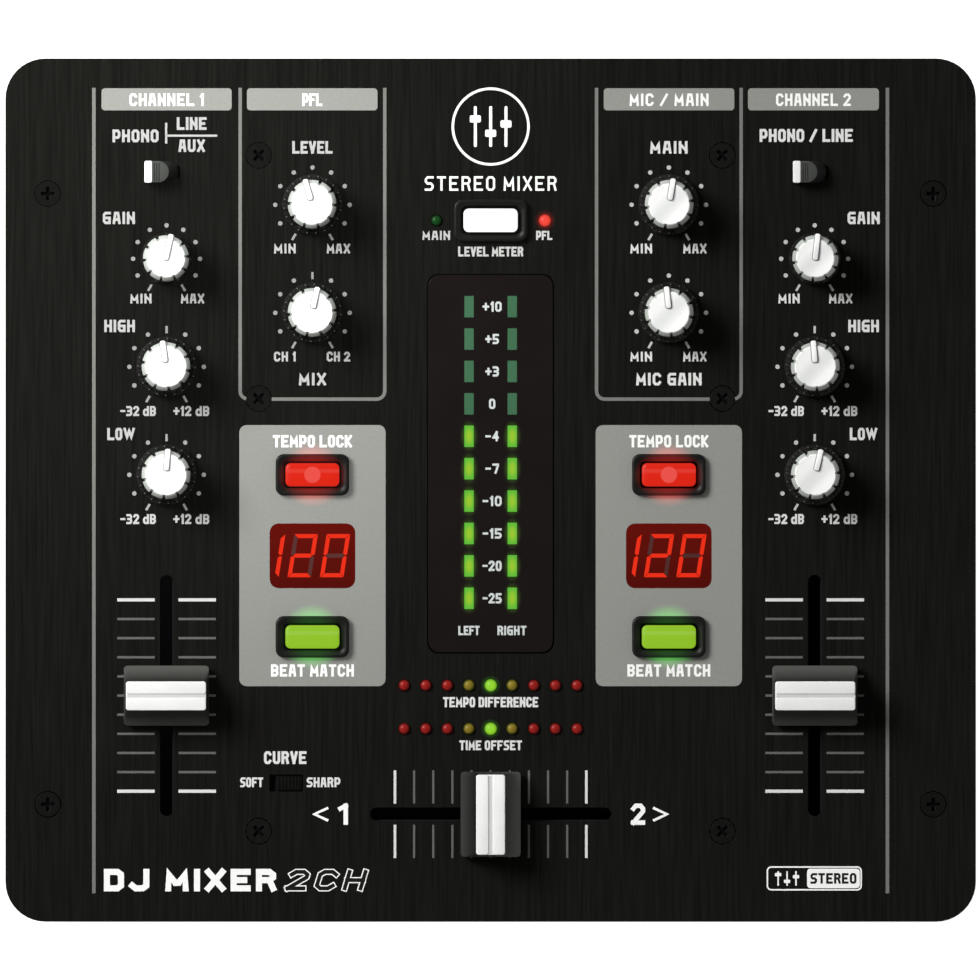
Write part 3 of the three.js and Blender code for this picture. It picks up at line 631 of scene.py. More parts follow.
def centre_print(ink, dots, bright, faint):
    """The phones, microphone and main knobs, the meter and the crossfader."""
    for name, label, width in (
        ("phones_level_knob", "LEVEL", 9.5),
        ("phones_mix_knob", "MIX", 6.4),
        ("main_level_knob", "MAIN", 8.8),
        ("mic_gain_knob", "MIC GAIN", 15.4),
    ):
        at = Place(name)
        rise = 13.5 if name in ("phones_level_knob", "main_level_knob") else -15.6
        write(ink, label, at.x, at.y + rise, width, 2.95)
        knob_scale(dots, at.x, at.y, 8.75, name == "phones_mix_knob")
        low, high = ("CH 1", "CH 2") if name == "phones_mix_knob" else ("MIN", "MAX")
        write(ink, low, at.x - 6.5, at.y - 10.3, 5.1, 2.3)
        write(ink, high, at.x + 6.1, at.y - 10.3, 5.5, 2.3)
    for legend in (
        ("MAIN", -12.8, 59.9, 6.5, 2.15), ("PFL", 12.6, 59.9, 3.8, 2.15), ("LEVEL METER", 0, 56.1, 15.3, 2.3),
        ("TEMPO DIFFERENCE", 0, -49.85, 22.4, 2.4), ("TIME OFFSET", 0, -60, 14.7, 2.3),
    ):
        write(ink, *legend)
    fader = Place("crossfader_body")
    fader_scale(ink, faint, fader.x, fader.y, (2.5, 10.3), (0.6, 0.5), upright=True)
    for side in SIDES:
        write(bright, "1" if side < 0 else "2", side * 34.7, fader.y, 2.3 if side < 0 else 3.3, 5.0)
        arrow = [(side * 38.2, fader.y + 1.5), (side * 41.6, fader.y), (side * 38.2, fader.y - 1.5)]
        bright.stroke(arrow, 0.62, *PRINT)


def switch_print(ink):
    """The input switches' and the crossfader curve switch's legends."""
    write(ink, "PHONO", -83.5, 83.3, 10.85, 3)
    write(ink, "LINE", -70.3, 86.2, 7.0, 3)
    write(ink, "AUX", -70.3, 81, 6.2, 2.95)
    ink.stroke([(-76.3, 86.4), (-76.3, 81.5)], 0.5, *PRINT)
    ink.stroke([(-76.3, 83.35), (-64.3, 83.35)], 0.5, *PRINT)
    write(ink, "PHONO / LINE", 74.2, 83.4, 21.9, 3.05)
    curve = Place("curve_switch")
    write(ink, "CURVE", -48.3, curve.y + 6, 10, 3)
    write(ink, "SOFT", -56.2, curve.y + 0.2, 5.4, 2.3)
    write(ink, "SHARP", -39.3, curve.y + 0.2, 7.9, 2.3)


def marks(ink, dark):
    """Plain marks: a ring with three fader bars, the kind of unit, and a boxed word."""
    ring_y = 85.5
    ink.washer(0, ring_y, 9.2, 8.6, *PRINT, 64)
    for x, level in ((-3.6, 1.8), (0, -1.6), (3.6, 0.6)):
        ink.slab(x, ring_y, 0.7, 9.6, 0.3, *PRINT)
        ink.slab(x, ring_y + level, 2.6, 1.7, 0.4, TOP, TOP + 1.5 * INK)
    write(ink, "STEREO MIXER", 0, 72.1, 31, 3.4, weight=0.15)
    name_y = -91.7
    write(ink, "DJ MIXER", -70.7, name_y, 40.5, 5.3, weight=0.27)
    write(ink, "2CH", -38.6, name_y, 18.6, 5.3, weight=0.27, slant=0.3)
    dark.text("2CH", -38.6, name_y, 18.1, 4.8, TOP + INK, TOP + 1.5 * INK, weight=0.19, slant=0.3)
    box_y = -91.3
    ink.frame(76.1, box_y, 22.4, 5.7, 1.1, 0.35, *PRINT)
    ink.slab(80.6, box_y, 12.4, 4.6, 0.8, *PRINT)
    dark.text("STEREO", 80.6, box_y, 10.8, 2.5, TOP + INK, TOP + 2 * INK)
    for x, level in ((67.6, 0.9), (69.7, -0.7), (71.8, 0.4)):
        ink.stroke([(x, -93), (x, -89.6)], 0.35, *PRINT)
        ink.slab(x, box_y + level, 1.5, 0.8, 0.2, TOP, TOP + 1.5 * INK)


HEAD_CLEAR = 3.0


def frame_lines(ink):
    """Grey rules between the columns: two long ones outside and a U round each centre column.

    The U stops short of the screw head in its outer corner."""
    for side in SIDES:
        ink.stroke([(side * 93.3, LINE_TOP), (side * 93.3, -94.8)], 0.82, *PRINT)
        outer, inner = COLUMN_LINES
        bottom, bend, half = 21.4, 1.9, 0.4
        middle, reach = side * (outer + inner) / 2, (outer - inner) / 2
        turns = 6
        screw = Vector((side * 54.5, 21.5))
        plan = []
        for edge in (half, -half):
            radius = bend + edge
            corner_x, corner_y = reach - bend, bottom + bend
            arc = [(corner_x + radius * math.sin(t), corner_y - radius * math.cos(t))
                   for t in (math.pi / 2 * i / turns for i in range(turns, -1, -1))]
            at_head = (abs(screw.x - middle) - HEAD_CLEAR, bottom - edge)
            half_plan = [(corner_x + radius, LINE_TOP)] + arc + [at_head]
            whole = half_plan + [(-x, y) for x, y in reversed(half_plan)]
            plan.append([Vector((middle + x, y)) for x, y in whole])
        outside, inside = plan
        for i in range(len(outside) - 1):
            centre = (outside[i] + outside[i + 1] + inside[i] + inside[i + 1]) / 4
            if (centre - screw).length > HEAD_CLEAR:
                ink.prism([outside[i], outside[i + 1], inside[i + 1], inside[i]], *PRINT)


def headers(box, ink):
    """The grey name boxes along the top of the panel."""
    names = (("CHANNEL 1", -76.2, 30.6, 17.5), ("PFL", -41.95, 30.7, 4.7),
             ("MIC / MAIN", 41.95, 30.7, 18.6), ("CHANNEL 2", 75.9, 30.8, 17.6))
    for label, x, width, text_width in names:
        box.slab(x, HEADER_Y, width, 5.2, 0.8, *PRINT)
        ink.text(label, x, HEADER_Y - 0.1, text_width, 2.95, TOP + INK, TOP + 2 * INK, weight=0.19)


PLATE_Y, PLATE_WIDTH, PLATE_DEPTH = -15.4, 34.4, 61.4


def tempo_plates(ink):
    """The grey field round each tempo display, in two halves with an opening for a button in each.

    Light spills onto it from both buttons."""
    plate_top = TOP + 0.7 * INK
    for number, side in ((1, -1), (2, 1)):
        lock, beat = Place(f"lock_button_{number}"), Place(f"beat_button_{number}")
        grey = print_ink(f"plate_grey_{number}", paint["ink_grey"].colour)
        grey.halo([(lock.x, lock.y, 0, 4.2, 8.0, (0.45, 0.055, 0.045)),
                   (beat.x, beat.y, 0, 4.2, 8.2, (0.05, 0.4, 0.03))])
        plate = Shape()
        for button_y, half in ((lock.y, 1), (beat.y, -1)):
            rings = []
            field = (side * INNER_X, PLATE_Y + half * PLATE_DEPTH / 4, PLATE_WIDTH, PLATE_DEPTH / 2)
            for z in (TOP, plate_top):
                round_corners, square_corners = [rounded(*field, corner, z) for corner in (1.7, 0)]
                middle = len(round_corners) // 2
                upper, lower = (round_corners, square_corners)[::half]
                rings.append(upper[:middle] + lower[middle:])
            opening = [rounded(lock.x, button_y, 16, 8.5, 1.5, z) for z in (plate_top, TOP)]
            plate.loft(rings + opening, closed=True)
        piece(f"tempo_plate_{number}", plate, [grey])
        ink.text("TEMPO LOCK", lock.x, 11.5, 18.6, 2.9, plate_top, TOP + 2 * INK)
        ink.text("BEAT MATCH", beat.x, -42.4, 19.5, 2.9, plate_top, TOP + 2 * INK)


def panel_print():
    legend, dots, line, box, bright, faint, dark = (Shape() for _ in range(7))
    for side in SIDES:
        channel_print(legend, dots, faint, side)
    centre_print(legend, dots, bright, faint)
    switch_print(legend)
    marks(bright, dark)
    frame_lines(line)
    headers(box, bright)
    tempo_plates(bright)
    for name, shape, ink in (
        ("legend", legend, "ink"), ("knob_scales", dots, "ink_dots"), ("rules", line, "ink_line"),
        ("headers", box, "ink_grey"), ("titles", bright, "ink_bright"), ("marks", dark, "slider_black"),
        ("fader_scales", faint, "ink_faint"),
    ):
        piece(f"panel_{name}", shape, [paint[ink]])


# ---- Knobs ----

KNOB_HEIGHT = 13
KNOB_SIZES = {
    "large": {"collar": 7.15, "grip": 5.7, "face": 4.75, "pointer_from": 1.0},
    "small": {"collar": 6.1, "grip": 5.4, "face": 4.4, "pointer_from": -0.4},
}


def white_with_painted_reflection(name, at):
    """White plastic with a painted reflection on its turned face: a little greyer in a band from lower left
    to upper right.
    """
    made = plastic(name, (0.9, 0.9, 0.88), 0.3)
    right, behind = made.plan(at.x + 0.2, at.y - 0.2)
    off_painted_band = made.math("ABSOLUTE", made.math("SUBTRACT", right, behind))
    share = made.spread(off_painted_band, 0, 1, 0.3, 4.2, smooth=True)
    return made.use(made.blend(share, (0.7, 0.71, 0.7), (0.86, 0.86, 0.84)))


def knob(name, angle):
    """A black ribbed skirt under a white notched cap, with a raised pointer at angle clockwise from +Y."""
    at = Place(name)
    size = KNOB_SIZES["large" if at.width > 13 else "small"]
    collar, grip, face = size["collar"], size["grip"], size["face"]
    place = Matrix.Translation((at.x, at.y, TOP)) @ Matrix.Rotation(math.radians(-angle), 4, "Z")
    skirt = Shape(place)
    ribs = toothed(20, 0.07, 4)
    outline = [
        (1, 0.6, 0), (collar - 0.3, 0.6, 0), (collar, 0.9, 0), (collar, 1.9, 0), (collar - 0.15, 2.3, 0),
        (collar - 0.5, 2.65, 0.12), (collar - 0.8, 3.4, 0.3), (grip + 0.5, 4.9, 0.3), (grip + 0.3, 7, 0.3),
        (grip + 0.15, 8.5, 0.3), (grip - 0.1, 8.85, 0.3), (1, 8.9, 0),
    ]
    skirt.loft([toothed_ring(ribs, radius, z, depth) for radius, z, depth in outline])
    # Twenty small ribs on the collar, painted lighter as a painted highlight.
    for k in range(20):
        at_rib = math.pi / 2 + (k + 0.5) * math.pi / 10
        ends = [around(0, 0, radius, at_rib, 0)[:2] for radius in (collar - 0.75, collar - 0.3)]
        skirt.stroke(ends, 0.32, 1.8, 2.8, paint=1)
    shaft = [(2.9, 0.7), (2.9, at.low.z - TOP + 0.3), (2.6, at.low.z - TOP)]
    skirt.turn(0, 0, shaft, 24)
    cap = Shape(place)
    notches = toothed(10, 0.075, 5)
    rise = KNOB_HEIGHT - 0.4
    outline = [
        (grip - 0.3, 8.8, 0.5), (grip, 9.1, 0.6), (grip + 0.02, rise - 1.4, 0.6),
        (grip - 0.08, rise - 1.05, 0.6), (face + 0.1, rise - 0.12, 0.35), (face - 0.1, rise, 0),
        (face * 0.6, rise - 0.12, 0), (0.02, rise - 0.2, 0),
    ]
    # The steep bevel ring round the face takes the grey, as painted shade.
    bands = [0, 0, 1, 1, 0, 0, 0]
    cap.loft([toothed_ring(notches, radius, z, depth) for radius, z, depth in outline], bands)
    reach = grip + 0.4 - size["pointer_from"]
    middle = size["pointer_from"] + reach / 2
    # A slightly larger grey plate under the pointer shows round it as a painted shadow line.
    cap.slab(0, middle - 0.08, 1.65, reach + 0.12, 0.6, rise - 1.2, rise + 0.02, 0.04, paint=2)
    cap.slab(0, middle, 1.2, reach, 0.45, rise - 1.1, KNOB_HEIGHT, 0.14)
    piece(f"{name}_skirt", skirt, [paint["knob_black"], paint["knob_rib_highlight"]], body=name)
    face_white = white_with_painted_reflection(f"{name}_white", at)
    paints = [face_white, paint["knob_bevel_shade"], paint["knob_seam"]]
    piece(f"{name}_cap", cap, paints, body=name, stands_for=[name])


def knobs():
    for joint in frame["joints"]:
        if "knob" in joint["child"]:
            knob(joint["child"], -sum(joint["range_deg"]) / 2)


# ---- Faders ----


def cap_section():
    """Half of the fader cap's section across its finger strip, from the base up: (offset, height)."""
    foot_x, foot_z, bend, strip, shoulder = 7.05, 1.8, (4.1, 3.6), 3.4, 9.4
    points = [(foot_x - 0.3, 0), (foot_x, 0.3), (foot_x, foot_z - 0.15)]
    for k in range(9):
        t = k / 8
        points.append((
            (1 - t) ** 2 * foot_x + 2 * t * (1 - t) * bend[0] + t * t * strip,
            (1 - t) ** 2 * foot_z + 2 * t * (1 - t) * bend[1] + t * t * shoulder,
        ))
    return points + [(strip - 0.15, shoulder + 0.1)]


def black_with_painted_light_and_shade(name, side, low_tones, high_tones):
    """Black plastic, with painted shade that deepens its tone where the slopes rise to the finger strip.

    Each pair of tones is for slopes facing away from side, and facing it; the lighter tones facing side are
    painted light."""
    made = plastic(name, (0.03, 0.03, 0.027), 0.42, Specular_IOR_Level=0.25)
    steep = made.spread(made.height(), 0, 1, TOP + 3.2, TOP + 8.5)
    ahead = made.spread(made.facing(*side), 0, 1, -0.25, 0.35)
    slopes = []
    for low, high in zip(low_tones, high_tones):
        slopes.append(made.blend(steep, *[(tone, tone, 0.92 * tone) for tone in (low, high)]))
    return made.use(made.blend(ahead, *slopes))


def fader_cap(node, body, quarter_turns):
    """A cap with hollowed slopes and a two-part white strip, which lies along X before it is turned."""
    at = Place(node)
    turn = Matrix.Rotation(quarter_turns * math.pi / 2, 4, "Z")
    cap = Shape(Matrix.Translation((at.x, at.y, at.low.z)) @ turn)
    half_section = cap_section()
    section = half_section + [(-y, z) for y, z in reversed(half_section)]
    length, top_length, height = 20, 18.9, 10

    def end(z):
        return length / 2 + (top_length - length) / 2 * max(z - 1.8, 0) / (height - 1.8)

    rings = []
    rounding = ((1, 0.8), (0.985, 0.35), (0.95, 0.07), (0.9, 0))
    for share, inset in [(-s, i) for s, i in rounding] + list(reversed(rounding)):
        ring = []
        for y, z in section:
            ring.append((share * end(z), y * (1 - inset / 7), inset + z * (1 - 2 * inset / height)))
        rings.append(ring)
    cap.loft(rings)
    strip_length, strip_width = 18.8, 6.8
    cap.slab(0, 0, strip_length, strip_width, 0.7, 9.0, 9.72, 0.12, paint=1)
    half_width = (strip_width - 0.9) / 2
    for side in SIDES:
        strip_y = side * (strip_width - half_width) / 2
        cap.slab(0, strip_y, strip_length, half_width, 0.6, 9.3, height, 0.2, paint=1)
    cap.slab(0, 0, strip_length - 0.6, 0.9, 0.1, 9.3, 9.76, paint=2)
    # Painted light and shade: the crossfader's slope facing +X and the channel caps' slope facing rear left
    # are lighter, and all slopes darken towards the strip.
    if quarter_turns:
        black = black_with_painted_light_and_shade(f"{node}_black", (1, 0, 0), (0.021, 0.11), (0.0085, 0.066))
    else:
        black = black_with_painted_light_and_shade(f"{node}_black", (-0.5, 0.86, 0), (0.034, 0.066), (0.02, 0.022))
    paints = [black, paint["white"], paint["cap_groove"]]
    piece(f"{node}_moulding", cap, paints, body=body, stands_for=[node], sharp=40)


def faders():
    kinds = (("channel_fader", "_1", 0), ("channel_fader", "_2", 0), ("crossfader", "", 1))
    for kind, suffix, quarter_turns in kinds:
        fader_cap(f"{kind}_cap{suffix}", f"{kind}{suffix}", quarter_turns)
        dress(f"{kind}_lever{suffix}", paint["steel"], 0.15)
        dress(f"{kind}_body{suffix}", paint["fader_body"], 0.3)


# ---- Slide switches ----

# The dust shields' undersides and tops, from the panel's top. The shields are real parts; their near-black
# paint is painted shade under the slots.
SHIELD_LOW, SHIELD_HIGH = -2.75, -2.25


def input_switch(number):
    """A thumb lever: a white stripe, three ribs, a ramp that falls away to the right and a dust shield. The
    ramp, the ribs and the stem take a darker copy of the grey as painted shade.
    """
    name = f"input_switch_{number}"
    at = Place(name)
    length, width, base, height = 7.9, 5.15, 0.4, 4.2
    shift = (at.width - length) / 2
    lever = Shape(Matrix.Translation((at.x + shift, at.y, TOP)))

    def outline(z, ramp, edge):
        radius = width / 2 - edge
        left, middle = -length / 2 + edge, length / 2 - width / 2 - ramp
        arc = [(middle + radius * math.cos(t), radius * math.sin(t), z)
               for t in (math.pi * (i / 16 - 0.5) for i in range(17))]
        return [(left, -radius, z)] + arc + [(left, radius, z)]

    rings = [(base, 0, 0.1), (base + 0.15, 0, 0), (1.3, 0.1, 0), (base + height - 0.2, 2.1, 0.05),
             (base + height - 0.1, 2.1, 0.1), (base + height, 2.25, 0.25)]
    lever.loft([outline(*ring) for ring in rings], [1, 1, 1, 0, 0])
    lever.slab(0.3, 0, 1.6, 2, 0.2, at.low.z - TOP, base + 0.5, paint=1)
    lever.slab(0.9 - length / 2, 0, 1.8, width, 0.4, base + 2, base + height + 0.08, 0.15, paint=2)
    for x in (-1.65, -1.1, -0.55):
        lever.slab(x, 0, 0.3, width - 0.8, 0.1, base + height - 0.4, base + height + 0.08, 0.08, paint=1)
    # Dust shield under the slot, near black as painted shade.
    lever.slab(-shift, 0, 10, 4.4, 0.3, SHIELD_LOW, SHIELD_HIGH, paint=3)
    paints = [paint["switch_grey"], paint["switch_grey_shaded"], paint["white"], paint["hole"]]
    piece(f"{name}_lever", lever, paints, body=name, stands_for=[name])


def curve_switch():
    """A black slider with shallow cross ribs, sunk in its slot, on a dust shield under the panel."""
    at = Place("curve_switch")
    slider = Shape()
    slider.slab(at.x, at.y, at.width, at.depth, 0.4, at.low.z, at.high.z - 0.12, 0.1)
    shield = (TOP + SHIELD_LOW, TOP + SHIELD_HIGH)
    # Dust shield under the slot, near black as painted shade.
    slider.slab(at.x, at.y, 10.4, at.depth + 1.5, 0.3, *shield, paint=1)
    for k in range(7):
        slider.slab(at.x + (k - 3) * 0.8, at.y, 0.42, at.depth - 0.5, 0.1, at.high.z - 0.6, at.high.z, 0.1)
    piece("curve_switch_slider", slider, [paint["curve_black"], paint["hole"]], body="curve_switch",
          stands_for=["curve_switch"])


# ---- Push buttons and bezels ----

RED, GREEN, WHITE = (0.62, 0.014, 0.005), (0.225, 0.45, 0.016), (0.95, 0.95, 0.94)


def button(name, colour, glow, light):
    """A lit cap with rounded edges and a slight crown, on a hidden flange. light is the tone of its painted
    highlights: a band across its upper part and, on the lock buttons, a round spot in the middle.
    """
    at = Place(name)
    shade = lit(f"{name}_lit", colour, glow)
    # Painted highlight: a lighter band across the cap's upper part.
    off_painted_band = shade.math("ABSOLUTE", shade.plan(at.x, at.y + 0.9)[1])
    highlight_band = shade.spread(off_painted_band, 0.35, 0, 0.2, 0.7, smooth=True)
    tone = shade.blend(highlight_band, glow, light)
    # On the lock buttons, a painted highlight spot in the middle.
    if name.startswith("lock"):
        near = shade.spread(shade.distance(at.x, at.y), 1, 0, 1.75, 2.05, smooth=True)
        tone = shade.blend(near, tone, light)
    shade.use(tone, "Emission Color")
    rim = lit(f"{name}_rim", colour, [0.15 * channel for channel in glow])
    cap = Shape()
    width, depth = 12.8, 5.6
    cap.slab(at.x, at.y, at.width, at.depth, 0.3, at.low.z, at.low.z + 1.5, paint=2)
    levels = [(at.low.z + 1, 0), (at.high.z - 1.3, 0), (at.high.z - 0.75, 0), (at.high.z - 0.42, 0.08),
              (at.high.z - 0.2, 0.3), (at.high.z - 0.08, 0.75), (at.high.z, 1.9)]
    rings = []
    for z, e in levels:
        rings.append(rounded(at.x, at.y, width - 2 * e, depth - 2 * e, max(1.25 - e / 3, 0.3), z, 6))
    cap.loft(rings, [2, 1, 1, 0, 0, 0])
    paints = [shade, rim, paint["socket"]]
    piece(f"{name}_cap", cap, paints, body=name, stands_for=[name], sharp=60)


def bezel(name, glow):
    """A flanged frame whose sloping inner lip catches the button's light."""
    at = Place(name)
    lip = plastic(f"{name}_black", (0.008, 0.008, 0.0072), 0.36, Specular_IOR_Level=0.12)
    if glow:
        near, along = glow
        lip.halo([(at.x, at.y, 0, 1.5, 7.6, near), (at.x, at.y, 3.6, 3.2, 5.0, along)])
    ring = Shape()
    width, depth, corner = at.width, at.depth, 1.9
    opening_width, opening_depth = 13.5, 6.3
    rim = at.high.z
    outside = [(TOP + 0.1, 0), (rim - 0.35, 0), (rim - 0.1, 0.12), (rim, 0.4), (rim, 0.75)]
    rings = [rounded(at.x, at.y, width - 2 * e, depth - 2 * e, corner - e / 2, z, 6) for z, e in outside]
    for z, e in ((rim - 0.5, 0.35), (rim - 0.75, 0.05), (rim - 1.1, 0), (at.low.z, 0)):
        rings.append(rounded(at.x, at.y, opening_width + 2 * e, opening_depth + 2 * e, 1.1 + e, z, 6))
    neck_width, neck_depth = 15.3, 7.8
    rings += [rounded(at.x, at.y, neck_width, neck_depth, 1.4, z, 6) for z in (at.low.z, TOP + 0.1)]
    ring.loft(rings, closed=True)
    piece(f"{name}_frame", ring, [lip], stands_for=[name], sharp=50)


def buttons():
    for number in (1, 2):
        button(f"lock_button_{number}", (0.09, 0.004, 0.002), RED, (0.72, 0.08, 0.065))
        bezel(f"lock_bezel_{number}", ((0.2, 0.004, 0.003), (0.06, 0.006, 0.005)))
        button(f"beat_button_{number}", (0.04, 0.07, 0.006), GREEN, (0.33, 0.56, 0.1))
        bezel(f"beat_bezel_{number}", ((0.006, 0.06, 0.005), (0.006, 0.012, 0.004)))
    button("meter_button", (0.4, 0.4, 0.39), WHITE, WHITE)
    bezel("meter_bezel", None)


# ---- Displays, level meter and lights ----

SEGMENT_LENGTH, SEGMENT_HALF, DIGIT_GAP = 4.6, 0.48, 0.07
SLANT = math.tan(math.radians(9))
DIGIT_PITCH = 7.62
# Segments by the letters a to g, clockwise from the top, with g in the middle.
DIGITS = {"1": "bc", "2": "abged", "0": "abcdef"}


def segments():
    """Each segment's outline in a digit about (0, 0), mitred where it meets the others."""
    across, up = SEGMENT_LENGTH / 2, SEGMENT_LENGTH
    half, gap = SEGMENT_HALF, DIGIT_GAP
    corner = across + half - gap
    inner = across - half - gap
    top = [(-corner, up + half), (corner, up + half), (inner, up - half), (-inner, up - half)]
    side = [(across + half, up + half - gap), (across - half, up - half - gap), (across - half, half + gap),
            (across, gap), (across + half, half / 2 + gap)]
    tip = across - gap
    middle = [(-tip, 0), (-inner, -half), (inner, -half), (tip, 0), (inner, half), (-inner, half)]
    shapes = {"a": (top, 1, 1), "b": (side, 1, 1), "c": (side, 1, -1), "d": (top, 1, -1), "e": (side, -1, -1),
              "f": (side, -1, 1), "g": (middle, 1, 1)}
    return {letter: [(u * way, v * rise) for u, v in plan] for letter, (plan, way, rise) in shapes.items()}


def tempo_digits(number, on, off):
    """Three seven-segment digits just under the red window's gloss."""
    window = Place(f"tempo_display_{number}")
    z = window.high.z
    digits = Shape()
    for place, digit in enumerate("120"):
        x = window.x + DIGIT_PITCH * (place - 1) - SEGMENT_LENGTH / 2
        for letter, outline in segments().items():
            if digit == "1" and letter not in "bc":
                continue
            plan = [(x + u + v * SLANT, PLATE_Y + v) for u, v in outline]
            shown = letter in DIGITS[digit]
            digits.prism(plan, z - 0.02, z + 0.03, 0 if shown else 1)
    piece(f"tempo_digits_{number}", digits, [on, off])


def displays():
    on = lit("digit_lit", (0.1, 0.005, 0.002), (0.72, 0.022, 0.006))
    off = plastic("digit_dim", (0.07, 0.022, 0.02), 0.4, Specular_IOR_Level=0.1)
    red = Paint("display_red", (0.04, 0.002, 0.0012), 0.26, Specular_IOR_Level=0.1)
    red.mottle(red.noise(0.1, 3), 0.94, 1.06)
    # The red window glows, brighter towards the rear; this glow is painted light.
    behind = red.spread(red.plan()[1], 0, 1, -23, -8)
    red.use(red.blend(behind, (0.036, 0.0018, 0.0012), (0.075, 0.0028, 0.0014)), "Emission Color")
    for number in (1, 2):
        dress(f"tempo_display_{number}", red, 0.15)
        tempo_digits(number, on, off)


def level_meter():
    """Ten light blocks a side, with their decibel figures, in the smoked window."""
    column, pitch, top_row = LIGHT_PITCH, 0.3 * INCH, 43.15
    rows, unlit = 10, 4
    top_lit = top_row - unlit * pitch
    smoke = Paint("meter_smoke", (0.0085, 0.0066, 0.0061), 0.25, Specular_IOR_Level=0.1)
    smoke.mottle(smoke.noise(0.08, 3), 0.9, 1.1)
    # Painted light: the smoked window glows round the lit rows of blocks, within its middle.
    bottom_lit = top_row - (rows - 1) * pitch
    beyond = smoke.math("ABSOLUTE", smoke.plan(0, (top_lit + bottom_lit) / 2)[1])
    reach = (top_lit - bottom_lit + pitch) / 2
    lit_rows = smoke.spread(beyond, 1, 0, reach - 0.5, reach)
    near = smoke.spread(smoke.lattice(column, 2 * column, top_lit, pitch, 0.55), 1, 0, 0.8, 2.3, smooth=True)
    inside = smoke.spread(smoke.math("ABSOLUTE", smoke.plan()[0]), 1, 0, 8, 9)
    share = smoke.math("MULTIPLY", smoke.math("MULTIPLY", lit_rows, near), inside)
    smoke.use(smoke.blend(share, (0, 0, 0), (0.03, 0.075, 0.005)), "Emission Color")
    dress("meter_window", smoke, 0.15)
    dress("meter_light_bar", lit("meter_light_bar_body", (0.1, 0.15, 0.05), (0.02, 0.05, 0.005)), 0.1)
    window = Place("meter_window")
    blocks, figures = Shape(), Shape()
    z = window.high.z
    for row in range(rows):
        for side in SIDES:
            blocks.slab(side * column, top_row - row * pitch, 2.2, 5.05, 0.15, z - 0.03, z + 0.03,
                        paint=0 if row < unlit else 1)
    levels = ("+10", "+5", "+3", "0", "-4", "-7", "-10", "-15", "-20", "-25")
    for row, level in enumerate(levels):
        width = {1: 1.5, 2: 3.2, 3: 4.5}[len(level)]
        figures.text(level, 0.35, top_row - row * pitch, width, 2.4, z, z + INK)
    sides_y = -33
    figures.text("LEFT", -5.1, sides_y, 5.0, 2.2, z, z + INK)
    figures.text("RIGHT", 5.0, sides_y, 6.8, 2.2, z, z + INK)
    dim = plastic("meter_block_dim", (0.038, 0.112, 0.056), 0.4, Specular_IOR_Level=0.2)
    bright = lit("meter_block_lit", (0.02, 0.05, 0.01), (0.3, 0.5, 0.02))
    off_middle = bright.lattice(column, 2 * column, top_lit, pitch, 0.5)
    edge = bright.spread(off_middle, 0, 1, 0.2, 1.35, smooth=True)
    bright.use(bright.blend(edge, (0.29, 0.5, 0.018), (0.085, 0.42, 0.03)), "Emission Color")
    piece("meter_blocks", blocks, [dim, bright])
    piece("meter_figures", figures, [paint["ink_label"]])


def lamp(shape, x, y, low, high, paint_number=0):
    """A small round light with a domed tip."""
    dome = 1.1
    profile = [(LAMP_RADIUS, low), (LAMP_RADIUS, high - dome)]
    for k in range(1, 8):
        angle = math.pi / 2 * k / 8
        profile.append((LAMP_RADIUS * math.cos(angle), high - dome + dome * math.sin(angle)))
    shape.turn(x, y, profile + [(0.05, high)], 32, paint_number)


def status_lights():
    """Two rows of nine lights, green in the middle, and the two that show what the meter reads."""
    strip = Place("offset_light_strip")
    red = lens("light_red_dim", (0.25, 0.011, 0.009), (0.04, 0.0015, 0.0008))
    amber = lens("light_amber_dim", (0.2, 0.15, 0.016), (0.02, 0.03, 0.002))
    green = lens("light_green_lit", (0.02, 0.05, 0.01), (0.01, 0.05, 0.005), glow=(0.27, 0.62, 0.025))
    collar = [(1.35, TOP - 1.5), (1.71, TOP - 1.5), (1.71, TOP - 0.03), (1.35, TOP - 0.03)]
    lights = Shape()
    lights.slab(strip.x, strip.y, strip.width, strip.depth, 1, strip.low.z, strip.low.z + 1.6, 0.2, paint=3)
    for row_y in LIGHT_ROWS:
        for i in range(-4, 5):
            colour = {0: 2, 1: 1}.get(abs(i), 0)
            lamp(lights, i * INCH / 5, row_y, strip.low.z + 1, strip.high.z, colour)
            lights.turn(i * INCH / 5, row_y, collar, 32, paint=4)
    piece("offset_lights", lights, [red, amber, green, paint["socket"], paint["panel"]],
          stands_for=["offset_light_strip"], sharp=60)
    dark = lens("source_light_dark", (0.004, 0.04, 0.006), (0.001, 0.003, 0.001))
    bright = lens("source_light_lit", (0.1, 0.01, 0.008), (0.1, 0.004, 0.003), glow=(0.82, 0.06, 0.04))
    body_top = 72
    for name, shade in (("main_source_light", dark), ("cue_source_light", bright)):
        at = Place(name)
        light = Shape()
        light.slab(at.x, at.y, 3.8, 3.8, 1.8, at.low.z, body_top, 0.1)
        lamp(light, at.x, at.y, body_top - 1, at.high.z)
        light.turn(at.x, at.y, collar, 32, paint=1)
        paints = [shade, paint["panel"]]
        piece(f"{name}_lens", light, paints, stands_for=[name], sharp=60)


# ---- Case, feet, screws and inside ----


def case():
    dress("case_tub", paint["case"], 0.45, 3)
    dress("rear_panel", paint["case"], 0.25)
    for side in ("left", "right"):
        for end in ("front", "rear"):
            dress(f"panel_screw_{end}_{side}", paint["screw"], 0.12)


BOARD_TOP = 59.6


